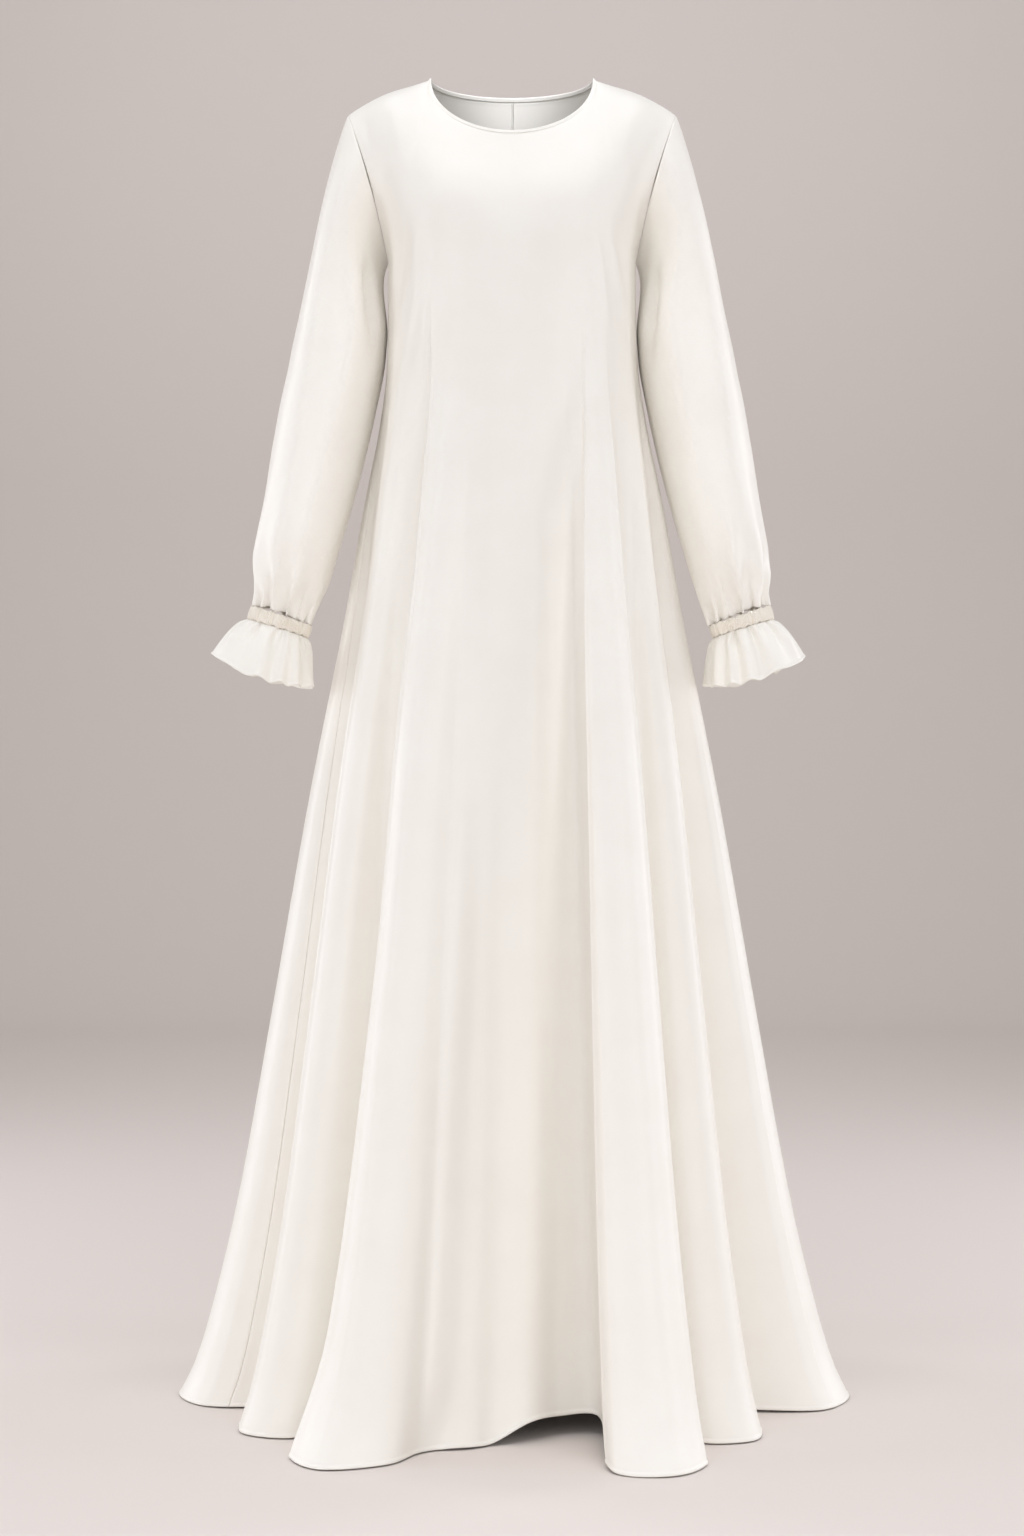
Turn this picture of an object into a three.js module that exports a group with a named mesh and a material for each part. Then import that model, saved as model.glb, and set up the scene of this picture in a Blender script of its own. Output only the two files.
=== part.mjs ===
// A floor-length ivory abaya, worn and hollow: round bound neck, one front panel, two back panels with a
// centre-back seam, set-in sleeves gathered into elastic cuffs, and a flared ruffle at each wrist.
// Millimetres, +Z up, -Y is the front, +X is the wearer's left. The origin lies midway between the
// two shoulder seams, where the wearer's shoulders carry the cloth.
import * as THREE from 'three';

// ---- driving dimensions ----------------------------------------------------------------------------
const garmentLength = 1461; // high shoulder point to hem
const holdDrop = 20; // the origin lies this far under the high shoulder points
const cloth = 2; // the cloth's wall
const seamGap = 0.4; // clearance between two pieces at a seam

const neck = {
  halfWidth: 93,
  sideDrop: 0.6,
  frontDrop: 77.5,
  backDrop: 13,
  seamDepth: 15,
  frontReach: 83,
  backReach: 45,
};
const shoulder = { halfWidth: 183, drop: 42, depth: 8, straightShare: 0.75, endBend: 4, roll: 0.35 };
// bulge is how far the armhole's front and back edges stand out, and hollow how far they curve in sideways
const armhole = { bottomDrop: 208, bulge: 50, bulgeBend: 1.4, bulgeHigh: 0.75, hollow: 0.08 };
// how fast the yoke turns from the top edge to the chest's depth, and how much faster at the side
const yoke = { steepness: 1.6, sideSteepness: 0.8, fullnessFrom: 0.5 };
const chest = { halfWidth: 137, frontDepth: 122, backDepth: 106, roundness: 2.4 };
const neckShare = 0.58; // share of a quarter ring that runs into the neck edge, the rest into the shoulder
const bust = { apartHalf: 80, drop: 165, spreadX: 48, above: 44, below: 150, reach: 14 };
const shoulderBlade = { apartHalf: 64, drop: 130, spreadX: 50, above: 50, below: 160, reach: 8 };
const binding = {
  foot: 0.4,
  height: 4.3,
  thickness: 2.2,
  lean: 0.75,
  frontLean: 0.55,
  backLean: -0.35,
  rise: 0.85,
};

// How the body widens below the armhole: flare 0 is the chest ring, 1 is the hem ring.
const flareRows = [
  { drop: 208, flare: 0, frontDepth: 122, backDepth: 106 },
  { drop: 260, flare: 0.002, frontDepth: 123, backDepth: 106 },
  { drop: 320, flare: 0.01, frontDepth: 124, backDepth: 107 },
  { drop: 394, flare: 0.055, frontDepth: 124, backDepth: 107 },
  { drop: 440, flare: 0.096, frontDepth: 124, backDepth: 107 },
  { drop: 500, flare: 0.146, frontDepth: 123, backDepth: 107 },
  { drop: 579, flare: 0.203, frontDepth: 123, backDepth: 108 },
  { drop: 801, flare: 0.391, frontDepth: 122, backDepth: 110 },
  { drop: 1024, flare: 0.557, frontDepth: 120, backDepth: 112 },
  { drop: 1246, flare: 0.73, frontDepth: 118, backDepth: 112 },
  { drop: 1356, flare: 0.84, frontDepth: 118, backDepth: 112 },
  { drop: 1422, flare: 0.923, frontDepth: 118, backDepth: 112 },
  { drop: 1461, flare: 1, frontDepth: 118, backDepth: 112 },
];

// The skirt's folds, from the wearer's right side over the front and round. Azimuth 0 is the front, 90 the
// wearer's left. top and hem are a fold's azimuths at the chest and at the hem, and spread its half-width in
// degrees there. reach is its distance from the axis, before and after the same at its two shoulders, and
// lift its height over the lowest hem.
const foldRows = [
  { fold: 'rightSide', top: -101, hem: -90, spread: 11, before: 344, reach: 370, after: 344, lift: 0 },
  { fold: 'rightSideIn', top: -76, hem: -70, spread: 2.5, before: 264, reach: 255, after: 264, lift: 1 },
  { fold: 'rightHip', top: -58, hem: -55.5, spread: 8, before: 316, reach: 340, after: 316, lift: 0 },
  { fold: 'rightHipIn', top: -44, hem: -43.3, spread: 2, before: 271, reach: 262, after: 271, lift: 1 },
  { fold: 'rightFront', top: -29, hem: -29.5, spread: 8.5, before: 363, reach: 391, after: 344, lift: 0 },
  { fold: 'rightFrontIn', top: -14, hem: -17.3, spread: 1.8, before: 293, reach: 278, after: 271, lift: 0 },
  { fold: 'centreFront', top: -4, hem: -9, spread: 4, before: 267, reach: 258, after: 243, lift: 1 },
  { fold: 'frontScallop', top: 18, hem: 14.5, spread: 9.5, before: 228, reach: 206, after: 211, lift: 20 },
  { fold: 'leftFront', top: 42, hem: 23.8, spread: 7.7, before: 371, reach: 399, after: 371, lift: 0 },
  { fold: 'leftFrontIn', top: 57, hem: 36.5, spread: 1.8, before: 273, reach: 264, after: 273, lift: 1 },
  { fold: 'leftHip', top: 69, hem: 48.5, spread: 7.6, before: 312, reach: 335, after: 312, lift: 0 },
  { fold: 'leftHipIn', top: 77, hem: 65.5, spread: 3, before: 259, reach: 250, after: 259, lift: 2 },
  { fold: 'leftSide', top: 86, hem: 87.5, spread: 12, before: 347, reach: 373, after: 347, lift: 0 },
  { fold: 'leftSideIn', top: 106, hem: 107, spread: 2.5, before: 267, reach: 258, after: 267, lift: 2 },
  { fold: 'leftRear', top: 119, hem: 120, spread: 8.5, before: 331, reach: 356, after: 331, lift: 0 },
  { fold: 'leftRearIn', top: 133, hem: 134, spread: 2, before: 271, reach: 262, after: 271, lift: 3 },
  { fold: 'leftBack', top: 146, hem: 148, spread: 8.5, before: 340, reach: 366, after: 340, lift: 0 },
  { fold: 'leftBackIn', top: 161, hem: 162.5, spread: 2.5, before: 267, reach: 258, after: 267, lift: 4 },
  { fold: 'centreBack', top: 177, hem: 177.5, spread: 9.5, before: 335, reach: 360, after: 335, lift: 0 },
  { fold: 'centreBackIn', top: 193, hem: 192.5, spread: 2, before: 277, reach: 268, after: 277, lift: 2 },
  { fold: 'rightBack', top: 206, hem: 205, spread: 8, before: 327, reach: 352, after: 327, lift: 0 },
  { fold: 'rightBackIn', top: 220, hem: 219, spread: 3, before: 261, reach: 252, after: 261, lift: 3 },
  { fold: 'rightRear', top: 233, hem: 234, spread: 8.5, before: 326, reach: 350, after: 326, lift: 0 },
  { fold: 'rightRearIn', top: 247, hem: 250.5, spread: 2, before: 269, reach: 260, after: 269, lift: 2 },
];
// A fold's shoulders stand topSpread of the way to its neighbours at the chest. The hem's lift dies away
// upwards with this power of the flare.
const foldShape = { topSpread: 0.3, liftPower: 6 };

// The sleeve, from the upper arm to the wrist: the tube's axis, its half-width across, its half-depth front
// to back, and how far the ring tips up at its outer end.
const sleeveRows = [
  { drop: 289, across: 188.8, depth: 0, halfWidth: 50.3, halfDepth: 64, tip: 4 },
  { drop: 323, across: 193.5, depth: -1, halfWidth: 51.8, halfDepth: 65, tip: 7 },
  { drop: 368, across: 202.6, depth: -3, halfWidth: 51.8, halfDepth: 65, tip: 10 },
  { drop: 417, across: 212.4, depth: -5, halfWidth: 50.6, halfDepth: 63, tip: 11.5 },
  { drop: 474, across: 224.5, depth: -9, halfWidth: 47.8, halfDepth: 60, tip: 13 },
  { drop: 551, across: 243.1, depth: -15, halfWidth: 44, halfDepth: 53, tip: 16 },
  { drop: 576, across: 248, depth: -17, halfWidth: 42, halfDepth: 47, tip: 17 },
  { drop: 590, across: 250.8, depth: -18, halfWidth: 37.6, halfDepth: 39, tip: 18 },
  { drop: 599.6, across: 252.8, depth: -18, halfWidth: 34.6, halfDepth: 33.6, tip: 18.4 },
];
const cuffRows = [
  { drop: 600, across: 253, depth: -18, halfWidth: 34.4, halfDepth: 33.4, tip: 18.4 },
  { drop: 613.6, across: 257.1, depth: -19, halfWidth: 34.4, halfDepth: 33.4, tip: 17.2 },
];
const ruffleRows = [
  { drop: 614, across: 257.2, depth: -19, halfWidth: 34.6, halfDepth: 33.6, tip: 17.2 },
  { drop: 619, across: 259.2, depth: -19.5, halfWidth: 40.4, halfDepth: 39, tip: 16.6 },
  { drop: 634.5, across: 264.2, depth: -21, halfWidth: 49, halfDepth: 47.5, tip: 16 },
  { drop: 662, across: 270.8, depth: -22, halfWidth: 58.5, halfDepth: 56, tip: 17 },
];
const gathers = {
  shortCount: 13,
  shortDepth: 2.6,
  shortLength: 55,
  longCount: 7,
  longDepth: 3.4,
  longLength: 190,
  longDrift: 2, // how far the long gathers crowd together in front, in radians
  longTurn: 0.6, // and how far they are turned on each arm
  againstBody: 0.35, // share of their depth on the side that faces the body
};
const ribs = { count: 32, height: 1 };
const ruffle = {
  waves: 9,
  topDepth: 1.5,
  hemDepth: 5.5,
  opening: 1.2, // the waves deepen with this power of the way down
  hemLift: 3,
  droop: 9,
  unevenness: 0.455,
  turn: 0.8, // of the waves on each arm, in radians
};
const swing = { right: 1.5, left: -1.5 }; // how much further out each sleeve hangs at the wrist
// The sleeve's head leaves the armhole sideways, and more so at its front, its back and the underarm.
const sleeveHead = { sideways: 0.38, frontAndBack: 0.3, underarm: 0.12, forward: 0.34, clearance: 0.05 };

// ---- mesh resolution -------------------------------------------------------------------------------
const neckColumns = 28; // over half of the neck, split between the two back panels behind
const shoulderColumns = 10; // over one shoulder seam
const sleeveColumns = 24; // the armhole's rows stand where the sleeve's columns meet it
const lowerDrops = [252, 310, 380, 470, 580, 700, 830, 960, 1090, 1210, 1310, 1380, 1427, 1461];
const headShares = [0, 0.1, 0.24, 0.4, 0.58, 0.78];
const sleeveDrops = [289, 338, 400, 460, 520, 556, 578, 590, 599.6];
const ruffleColumns = 45;
const hemWeight = 0.6; // a step along the hem counts this much against one round the chest
const slopeStep = { azimuth: 0.4, share: 0.01, drop: 2, tube: 8 }; // how far apart slopes are measured

// ---- small maths -----------------------------------------------------------------------------------
const radians = (degrees) => (degrees * Math.PI) / 180;
const mix = (a, b, t) => a + (b - a) * t;
const clamp01 = (t) => Math.min(1, Math.max(0, t));
const smooth = (from, to, v) => {
  const t = clamp01((v - from) / (to - from)); // from may be the larger
  return t * t * (3 - 2 * t);
};
const bell = (offset, spread) => Math.exp(-0.5 * (offset / spread) ** 2);
const heightOf = (drop) => holdDrop - drop;
const vector = (x, y, z) => new THREE.Vector3(x, y, z);

// A monotone cubic through rows of (key, value), so that a section never bulges past its neighbours.
function throughRows(rows, key, value, at) {
  const last = rows.length - 1;
  const slopeAfter = (i) => (rows[i + 1][value] - rows[i][value]) / (rows[i + 1][key] - rows[i][key]);
  const slopeAt = (i) => {
    if (i === 0) return slopeAfter(0);
    if (i === last) return slopeAfter(last - 1);
    const before = slopeAfter(i - 1);
    const after = slopeAfter(i);
    return before * after <= 0 ? 0 : (2 * before * after) / (before + after);
  };
  let i = 0;
  while (i < last - 1 && at > rows[i + 1][key]) i += 1;
  const step = rows[i + 1][key] - rows[i][key];
  const t = clamp01((at - rows[i][key]) / step);
  const keepStart = (1 + 2 * t) * (1 - t) ** 2;
  const turnStart = t * (1 - t) ** 2 * step;
  const keepEnd = t * t * (3 - 2 * t);
  const turnEnd = t * t * (t - 1) * step;
  const kept = keepStart * rows[i][value] + keepEnd * rows[i + 1][value];
  return kept + turnStart * slopeAt(i) + turnEnd * slopeAt(i + 1);
}

// ---- the hem ring ----------------------------------------------------------------------------------
// Each fold row gives three points of the hem: its middle and its two shoulders.
function hemControlPoints() {
  const rows = foldRows;
  const count = rows.length;
  const points = [];
  rows.forEach((row, i) => {
    const topBefore = rows[(i + count - 1) % count].top - (i === 0 ? 360 : 0);
    const topAfter = rows[(i + 1) % count].top + (i === count - 1 ? 360 : 0);
    const places = [
      { top: mix(row.top, topBefore, foldShape.topSpread), hem: row.hem - row.spread, reach: row.before },
      { top: row.top, hem: row.hem, reach: row.reach },
      { top: mix(row.top, topAfter, foldShape.topSpread), hem: row.hem + row.spread, reach: row.after },
    ];
    places.forEach(({ top, hem, reach }) => {
      const angle = radians(hem);
      points.push({ top, at: vector(reach * Math.sin(angle), -reach * Math.cos(angle), row.lift) });
    });
  });
  return points;
}
const hemPoints = hemControlPoints();
const hemCurve = new THREE.CatmullRomCurve3(
  hemPoints.map((p) => p.at),
  true,
  'centripetal',
);

// The hem point whose thread runs up to the given azimuth of the chest ring. z is the hem's lift.
function hemAt(azimuth) {
  const count = hemPoints.length;
  const first = hemPoints[0].top;
  const turned = ((((azimuth - first) % 360) + 360) % 360) + first;
  let i = count - 1;
  while (i > 0 && turned < hemPoints[i].top) i -= 1;
  const next = i === count - 1 ? hemPoints[0].top + 360 : hemPoints[i + 1].top;
  const share = (turned - hemPoints[i].top) / (next - hemPoints[i].top);
  return hemCurve.getPoint(((i + share) / count) % 1);
}

// ---- the body --------------------------------------------------------------------------------------
const sideSeam = 90;
const behindSeam = 90.001; // the same seam, as the back panels meet it
const neckCorner = neckShare * sideSeam; // where the neck meets the shoulder seam
const isFront = (azimuth) => Math.abs(azimuth) <= sideSeam;

// A point of the chest ring: a rounded oval, given by its distance from the axis at an azimuth.
function chestRing(azimuth, frontDepth, backDepth) {
  const angle = radians(azimuth);
  const depth = isFront(azimuth) ? frontDepth : backDepth;
  const n = chest.roundness;
  const across = (Math.abs(Math.sin(angle)) / chest.halfWidth) ** n;
  const distance = (across + (Math.abs(Math.cos(angle)) / depth) ** n) ** (-1 / n);
  return vector(distance * Math.sin(angle), -distance * Math.cos(angle), heightOf(armhole.bottomDrop));
}

// How far a column is from the centre line: 0 at centre front or centre back, 1 at the side seam.
const sideShare = (azimuth) => (isFront(azimuth) ? Math.abs(azimuth) : 180 - Math.abs(azimuth)) / 90;

// The shoulder seam, from the high shoulder point (0) to the shoulder tip (1).
function shoulderSeam(side, share) {
  const fall = mix(share ** shoulder.endBend, share, shoulder.straightShare);
  return vector(
    side * mix(neck.halfWidth, shoulder.halfWidth, share),
    mix(neck.seamDepth, shoulder.depth, share),
    heightOf(mix(neck.sideDrop, shoulder.drop, fall)),
  );
}

// The top edge of the front or of the back: half of the neck, then the shoulder seam.
function topEdge(azimuth) {
  const front = isFront(azimuth);
  const side = Math.sign(azimuth) || 1;
  const share = sideShare(azimuth);
  if (share >= neckShare) return shoulderSeam(side, (share - neckShare) / (1 - neckShare));
  const turn = (share / neckShare) * (Math.PI / 2);
  const reach = front ? -neck.frontReach : neck.backReach;
  const drop = front ? neck.frontDrop : neck.backDrop;
  return vector(
    side * neck.halfWidth * Math.sin(turn),
    neck.seamDepth + reach * Math.cos(turn),
    heightOf(mix(neck.sideDrop, drop, Math.cos(turn))),
  );
}

// The fullness over the bust, or over the shoulder blades at the back.
function fullness(azimuth, x, z) {
  const form = isFront(azimuth) ? bust : shoulderBlade;
  const across = bell(x - form.apartHalf, form.spreadX) + bell(x + form.apartHalf, form.spreadX);
  const towardsSide = 1 - sideShare(azimuth) ** 2;
  const under = heightOf(form.drop) - z;
  return form.reach * across * bell(under, under < 0 ? form.above : form.below) * towardsSide;
}

// Above the armhole's foot: share 0 is the top edge and 1 the chest ring.
function upperPoint(azimuth, share) {
  const forward = isFront(azimuth) ? -1 : 1;
  const edge = sideShare(azimuth);
  const start = topEdge(azimuth);
  const end = chestRing(azimuth, chest.frontDepth, chest.backDepth);
  const steepness = yoke.steepness + yoke.sideSteepness * edge;
  const onSeam = clamp01((edge - neckShare) / (1 - neckShare));
  const roll = 1 + shoulder.roll * Math.sin(Math.PI * onSeam);
  const atEdge = armhole.bulge * edge ** armhole.bulgeBend;
  const bulge = atEdge * Math.sin(Math.PI * share ** armhole.bulgeHigh);
  const x = mix(start.x, end.x, share + armhole.hollow * Math.sin(Math.PI * share));
  const y = mix(start.y, end.y, 1 - (1 - share) ** steepness) + forward * bulge;
  const z = mix(start.z, end.z, share ** roll);
  const belowEdge = smooth(0, yoke.fullnessFrom, share);
  return vector(x, y + forward * belowEdge * fullness(azimuth, x, z), z);
}

// From the armhole's foot to the hem: each thread runs from its chest azimuth to its place in the folds.
function lowerPoint(azimuth, drop) {
  const flare = throughRows(flareRows, 'drop', 'flare', drop);
  const ring = chestRing(
    azimuth,
    throughRows(flareRows, 'drop', 'frontDepth', drop),
    throughRows(flareRows, 'drop', 'backDepth', drop),
  );
  const hem = hemAt(azimuth);
  const z = heightOf(drop) + hem.z * flare ** foldShape.liftPower;
  const x = mix(ring.x, hem.x, flare);
  const y = mix(ring.y, hem.y, flare);
  const forward = isFront(azimuth) ? -1 : 1;
  return vector(x, y + forward * fullness(azimuth, x, heightOf(drop)), z);
}

// row counts 0 to 1 over the upper part and carries on as 1 plus the drop below the armhole's foot.
function bodyPoint(azimuth, row) {
  return row <= 1 ? upperPoint(azimuth, row) : lowerPoint(azimuth, armhole.bottomDrop + row - 1);
}

// The outward direction of the body at a point, kept to one panel above the armhole's foot.
function bodyNormal(azimuth, row, ends) {
  const step = slopeStep.azimuth;
  const joined = row >= 1;
  const from = joined ? azimuth - step : Math.max(azimuth - step, ends.from);
  const to = joined ? azimuth + step : Math.min(azimuth + step, ends.to);
  const wrap = (a) => (a > 180 ? a - 360 : a < -180 ? a + 360 : a);
  const rowStep = joined ? slopeStep.drop : slopeStep.share;
  const above = Math.max(joined ? 1 - slopeStep.share : 0, row - rowStep);
  const lowest = 1 + garmentLength - armhole.bottomDrop;
  const below = Math.min(joined ? lowest : 1, row + rowStep);
  const along = bodyPoint(wrap(to), row).sub(bodyPoint(wrap(from), row));
  const down = bodyPoint(azimuth, below).sub(bodyPoint(azimuth, above));
  return down.cross(along).normalize();
}

// ---- walls -----------------------------------------------------------------------------------------
// A closed wall between two grids of points, outer[row][column] and inner[row][column]: rows run
// down and the columns round. A closed wall joins its last column to its first.
function wallGeometry(outer, inner, closed) {
  const rows = outer.length;
  const columns = outer[0].length;
  const positions = [...outer.flat(), ...inner.flat()].flatMap((p) => [p.x, p.y, p.z]);
  const out = (i, j) => i * columns + (j % columns);
  const into = (i, j) => rows * columns + out(i, j);
  const index = [];
  const quad = (a, b, c, d) => index.push(a, b, c, a, c, d);
  const spans = closed ? columns : columns - 1;
  for (let j = 0; j < spans; j += 1) {
    for (let i = 0; i < rows - 1; i += 1) {
      quad(out(i, j), out(i + 1, j), out(i + 1, j + 1), out(i, j + 1));
      quad(into(i, j), into(i, j + 1), into(i + 1, j + 1), into(i + 1, j));
    }
    quad(out(0, j), out(0, j + 1), into(0, j + 1), into(0, j));
    quad(out(rows - 1, j), into(rows - 1, j), into(rows - 1, j + 1), out(rows - 1, j + 1));
  }
  if (!closed) {
    const end = columns - 1;
    for (let i = 0; i < rows - 1; i += 1) {
      quad(out(i, 0), into(i, 0), into(i + 1, 0), out(i + 1, 0));
      quad(out(i, end), out(i + 1, end), into(i + 1, end), into(i, end));
    }
  }
  const geometry = new THREE.BufferGeometry();
  geometry.setAttribute('position', new THREE.Float32BufferAttribute(positions, 3));
  geometry.setIndex(index);
  return geometry;
}

// The inner grid of a closed tube: every outer point moved in by the wall, square to the surface.
function tubeInner(outer, wall, ownNormal) {
  const rows = outer.length;
  const columns = outer[0].length;
  return outer.map((ring, i) =>
    ring.map((point, j) => {
      const along = ring[(j + 1) % columns].clone().sub(ring[(j + columns - 1) % columns]);
      const down = outer[Math.min(rows - 1, i + 1)][j].clone().sub(outer[Math.max(0, i - 1)][j]);
      const normal = (ownNormal && ownNormal(i, j)) || down.cross(along).normalize();
      return point.clone().addScaledVector(normal, -wall);
    }),
  );
}

// ---- front and back panels -------------------------------------------------------------------------
// Each panel's stretches from edge to edge: a stretch ends where the neck meets the shoulder seam.
const panels = {
  front: [
    { from: -sideSeam, to: -neckCorner, columns: shoulderColumns },
    { from: -neckCorner, to: neckCorner, columns: neckColumns },
    { from: neckCorner, to: sideSeam, columns: shoulderColumns },
  ],
  back_left: [
    { from: behindSeam, to: 180 - neckCorner, columns: shoulderColumns },
    { from: 180 - neckCorner, to: 180, columns: neckColumns / 2 },
  ],
  back_right: [
    { from: -180, to: neckCorner - 180, columns: neckColumns / 2 },
    { from: neckCorner - 180, to: -behindSeam, columns: shoulderColumns },
  ],
};
const upperShares = Array.from(
  { length: sleeveColumns / 2 + 1 },
  (_, k) => (1 - Math.cos((2 * Math.PI * k) / sleeveColumns)) / 2,
);

// Columns stand where the hem's length divides evenly, so that every fold gets its share of them.
function stretchAzimuths({ from, to, columns }) {
  const fine = 400;
  const lengths = [0];
  let last = hemAt(from);
  for (let k = 1; k <= fine; k += 1) {
    const point = hemAt(mix(from, to, k / fine));
    const chestStep = radians((to - from) / fine) * chest.halfWidth;
    lengths.push(lengths[k - 1] + hemWeight * point.distanceTo(last) + chestStep);
    last = point;
  }
  return Array.from({ length: columns + 1 }, (_, j) => {
    if (j === 0) return from;
    if (j === columns) return to;
    const wanted = (lengths[fine] * j) / columns;
    const k = lengths.findIndex((length) => length >= wanted);
    const share = (wanted - lengths[k - 1]) / (lengths[k] - lengths[k - 1]);
    return mix(from, to, (k - 1 + share) / fine);
  });
}

const panelAzimuths = (panel) =>
  panel.flatMap((stretch, i) => stretchAzimuths(stretch).slice(i === 0 ? 0 : 1));

// At the shoulder seam the front and the back share one wall direction, so that their edges stand parallel.
const onShoulderSeam = (azimuth) => sideShare(azimuth) > neckShare - 1e-6;
function wallNormal(azimuth, row, ends) {
  const own = bodyNormal(azimuth, row, ends);
  return row === 0 && onShoulderSeam(azimuth) ? vector(own.x, 0, own.z).normalize() : own;
}

function panelGeometry(panel) {
  const rows = [...upperShares, ...lowerDrops.map((drop) => 1 + drop - armhole.bottomDrop)];
  const azimuths = panelAzimuths(panel);
  const ends = { from: azimuths[0], to: azimuths[azimuths.length - 1] };
  const middle = (ends.from + ends.to) / 2;
  const forward = isFront(middle) ? -1 : 1;
  const outer = [];
  const inner = [];
  rows.forEach((row, i) => {
    const outerRing = [];
    const innerRing = [];
    azimuths.forEach((azimuth, j) => {
      const atEdge = j === 0 || j === azimuths.length - 1;
      const point = bodyPoint(azimuth, row);
      const normal = wallNormal(azimuth, row, ends);
      if (atEdge) {
        const inward = bodyPoint(mix(azimuth, middle, 0.02), row).sub(point).normalize();
        point.addScaledVector(inward, seamGap / 2);
      }
      if (i === 0 && onShoulderSeam(azimuth)) point.y += (forward * seamGap) / 2;
      outerRing.push(point);
      innerRing.push(point.clone().addScaledVector(normal, -cloth));
    });
    outer.push(outerRing);
    inner.push(innerRing);
  });
  return wallGeometry(outer, inner, false);
}

// ---- neck binding ----------------------------------------------------------------------------------
// A strip that stands on the neck edge of the three panels, column by column, and leans in with the neck.
function bindingGeometry() {
  const onNeck = (stretch) => stretch.columns !== shoulderColumns;
  const azimuths = Object.values(panels).flatMap((panel) =>
    panel.filter(onNeck).flatMap((stretch) => stretchAzimuths(stretch).slice(1)),
  );
  azimuths.sort((a, b) => a - b);
  const top = [];
  const foot = [];
  azimuths.forEach((azimuth) => {
    const edge = topEdge(azimuth);
    const turn = (Math.min(1, sideShare(azimuth) / neckShare) * Math.PI) / 2;
    const lean = isFront(azimuth) ? binding.frontLean : binding.backLean;
    const inwards = -binding.lean * Math.sign(azimuth) * Math.sin(turn);
    const up = vector(inwards, lean * Math.cos(turn), binding.rise).normalize();
    top.push(edge.clone().addScaledVector(up, binding.height + seamGap));
    foot.push(edge.clone().addScaledVector(up, seamGap + binding.foot));
  });
  const outer = [top, foot];
  return wallGeometry(outer, tubeInner(outer, binding.thickness), true);
}

// ---- sleeves ---------------------------------------------------------------------------------------
const armTop = sleeveRows[0].drop;
const wristDrop = sleeveRows.at(-1).drop;

// A tube's ring: azimuth as on the body, so 0 faces front. out is 1 at the outer side of the arm.
function tubePoint(side, rows, azimuth, drop, push) {
  const angle = radians(azimuth);
  const out = side * Math.sin(angle);
  const front = Math.cos(angle);
  const at = (column) => throughRows(rows, 'drop', column, drop);
  const tip = radians(at('tip'));
  const hang = side < 0 ? swing.right : swing.left;
  const across = at('across') + (hang * (drop - armTop)) / (wristDrop - armTop);
  const half = (at('halfWidth') + push) * out;
  return vector(
    side * (across + half * Math.cos(tip)),
    at('depth') - (at('halfDepth') + push) * front,
    heightOf(drop) + half * Math.sin(tip),
  );
}

// Gathers drawn up by the elastic: short ones at the wrist and fewer long ones that run up the forearm.
function gatherPush(side, azimuth, drop) {
  const angle = radians(azimuth);
  const above = wristDrop - drop;
  const short = gathers.shortDepth * (1 - smooth(0, gathers.shortLength, above));
  const long = gathers.longDepth * (1 - smooth(0, gathers.longLength, above));
  const awayFromBody = mix(gathers.againstBody, 1, smooth(-1, 0.2, side * Math.sin(angle)));
  const drift = gathers.longDrift * Math.sin(angle) + gathers.longTurn * side;
  const longPhase = gathers.longCount * angle + drift;
  return short * Math.sin(gathers.shortCount * angle + side) + long * awayFromBody * Math.sin(longPhase);
}

// The armhole, as the sleeve meets it. out 1 is the shoulder tip, -1 the underarm.
function armholePoint(side, azimuth) {
  const angle = radians(azimuth);
  const share = (1 - side * Math.sin(angle)) / 2;
  const onFront = Math.cos(angle) >= 0;
  return upperPoint(side * (onFront ? sideSeam : behindSeam), share);
}

// The sleeve's wall stands along the panels' walls at the armhole, and faces the body at the underarm.
const underarm = { turnFrom: -0.15, turnTo: -0.95, forward: 0.4, down: 0.1 };
function armholeNormal(side, azimuth) {
  const angle = radians(azimuth);
  const out = side * Math.sin(angle);
  const onFront = Math.cos(angle) >= 0;
  const edge = side * (onFront ? sideSeam : behindSeam);
  const within = side * (onFront ? neckCorner : 180 - neckCorner);
  const ends = { from: Math.min(edge, within), to: Math.max(edge, within) };
  const panelWall = wallNormal(edge, (1 - out) / 2, ends);
  const facingBody = vector(-side, -underarm.forward * Math.cos(angle), -underarm.down);
  return panelWall.lerp(facingBody, smooth(underarm.turnFrom, underarm.turnTo, out)).normalize();
}

// Between the armhole and the first ring of the tube, each thread is a cubic that leaves the armhole on its
// own slope and runs into the tube.
function sleeveHeadPoint(side, azimuth, share) {
  const angle = radians(azimuth);
  const out = side * Math.sin(angle);
  const start = armholePoint(side, azimuth).add(vector(side * (seamGap + sleeveHead.clearance), 0, 0));
  const end = tubePoint(side, sleeveRows, azimuth, armTop, gatherPush(side, azimuth, armTop));
  const next = tubePoint(side, sleeveRows, azimuth, armTop + slopeStep.tube, 0);
  const here = tubePoint(side, sleeveRows, azimuth, armTop, 0);
  const length = start.distanceTo(end);
  const ease = sleeveHead.frontAndBack * (1 - out * out) + sleeveHead.underarm * Math.max(0, -out);
  const forward = -sleeveHead.forward * Math.cos(angle);
  const leave = vector(side * (sleeveHead.sideways + ease), forward, -1).setLength(length);
  const arrive = next.sub(here).setLength(length);
  const t = share;
  return vector(0, 0, 0)
    .addScaledVector(start, (1 + 2 * t) * (1 - t) ** 2)
    .addScaledVector(leave, t * (1 - t) ** 2)
    .addScaledVector(end, t * t * (3 - 2 * t))
    .addScaledVector(arrive, t * t * (t - 1));
}

const ringAzimuths = (columns) => Array.from({ length: columns }, (_, j) => (360 * j) / columns - 180);

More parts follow.
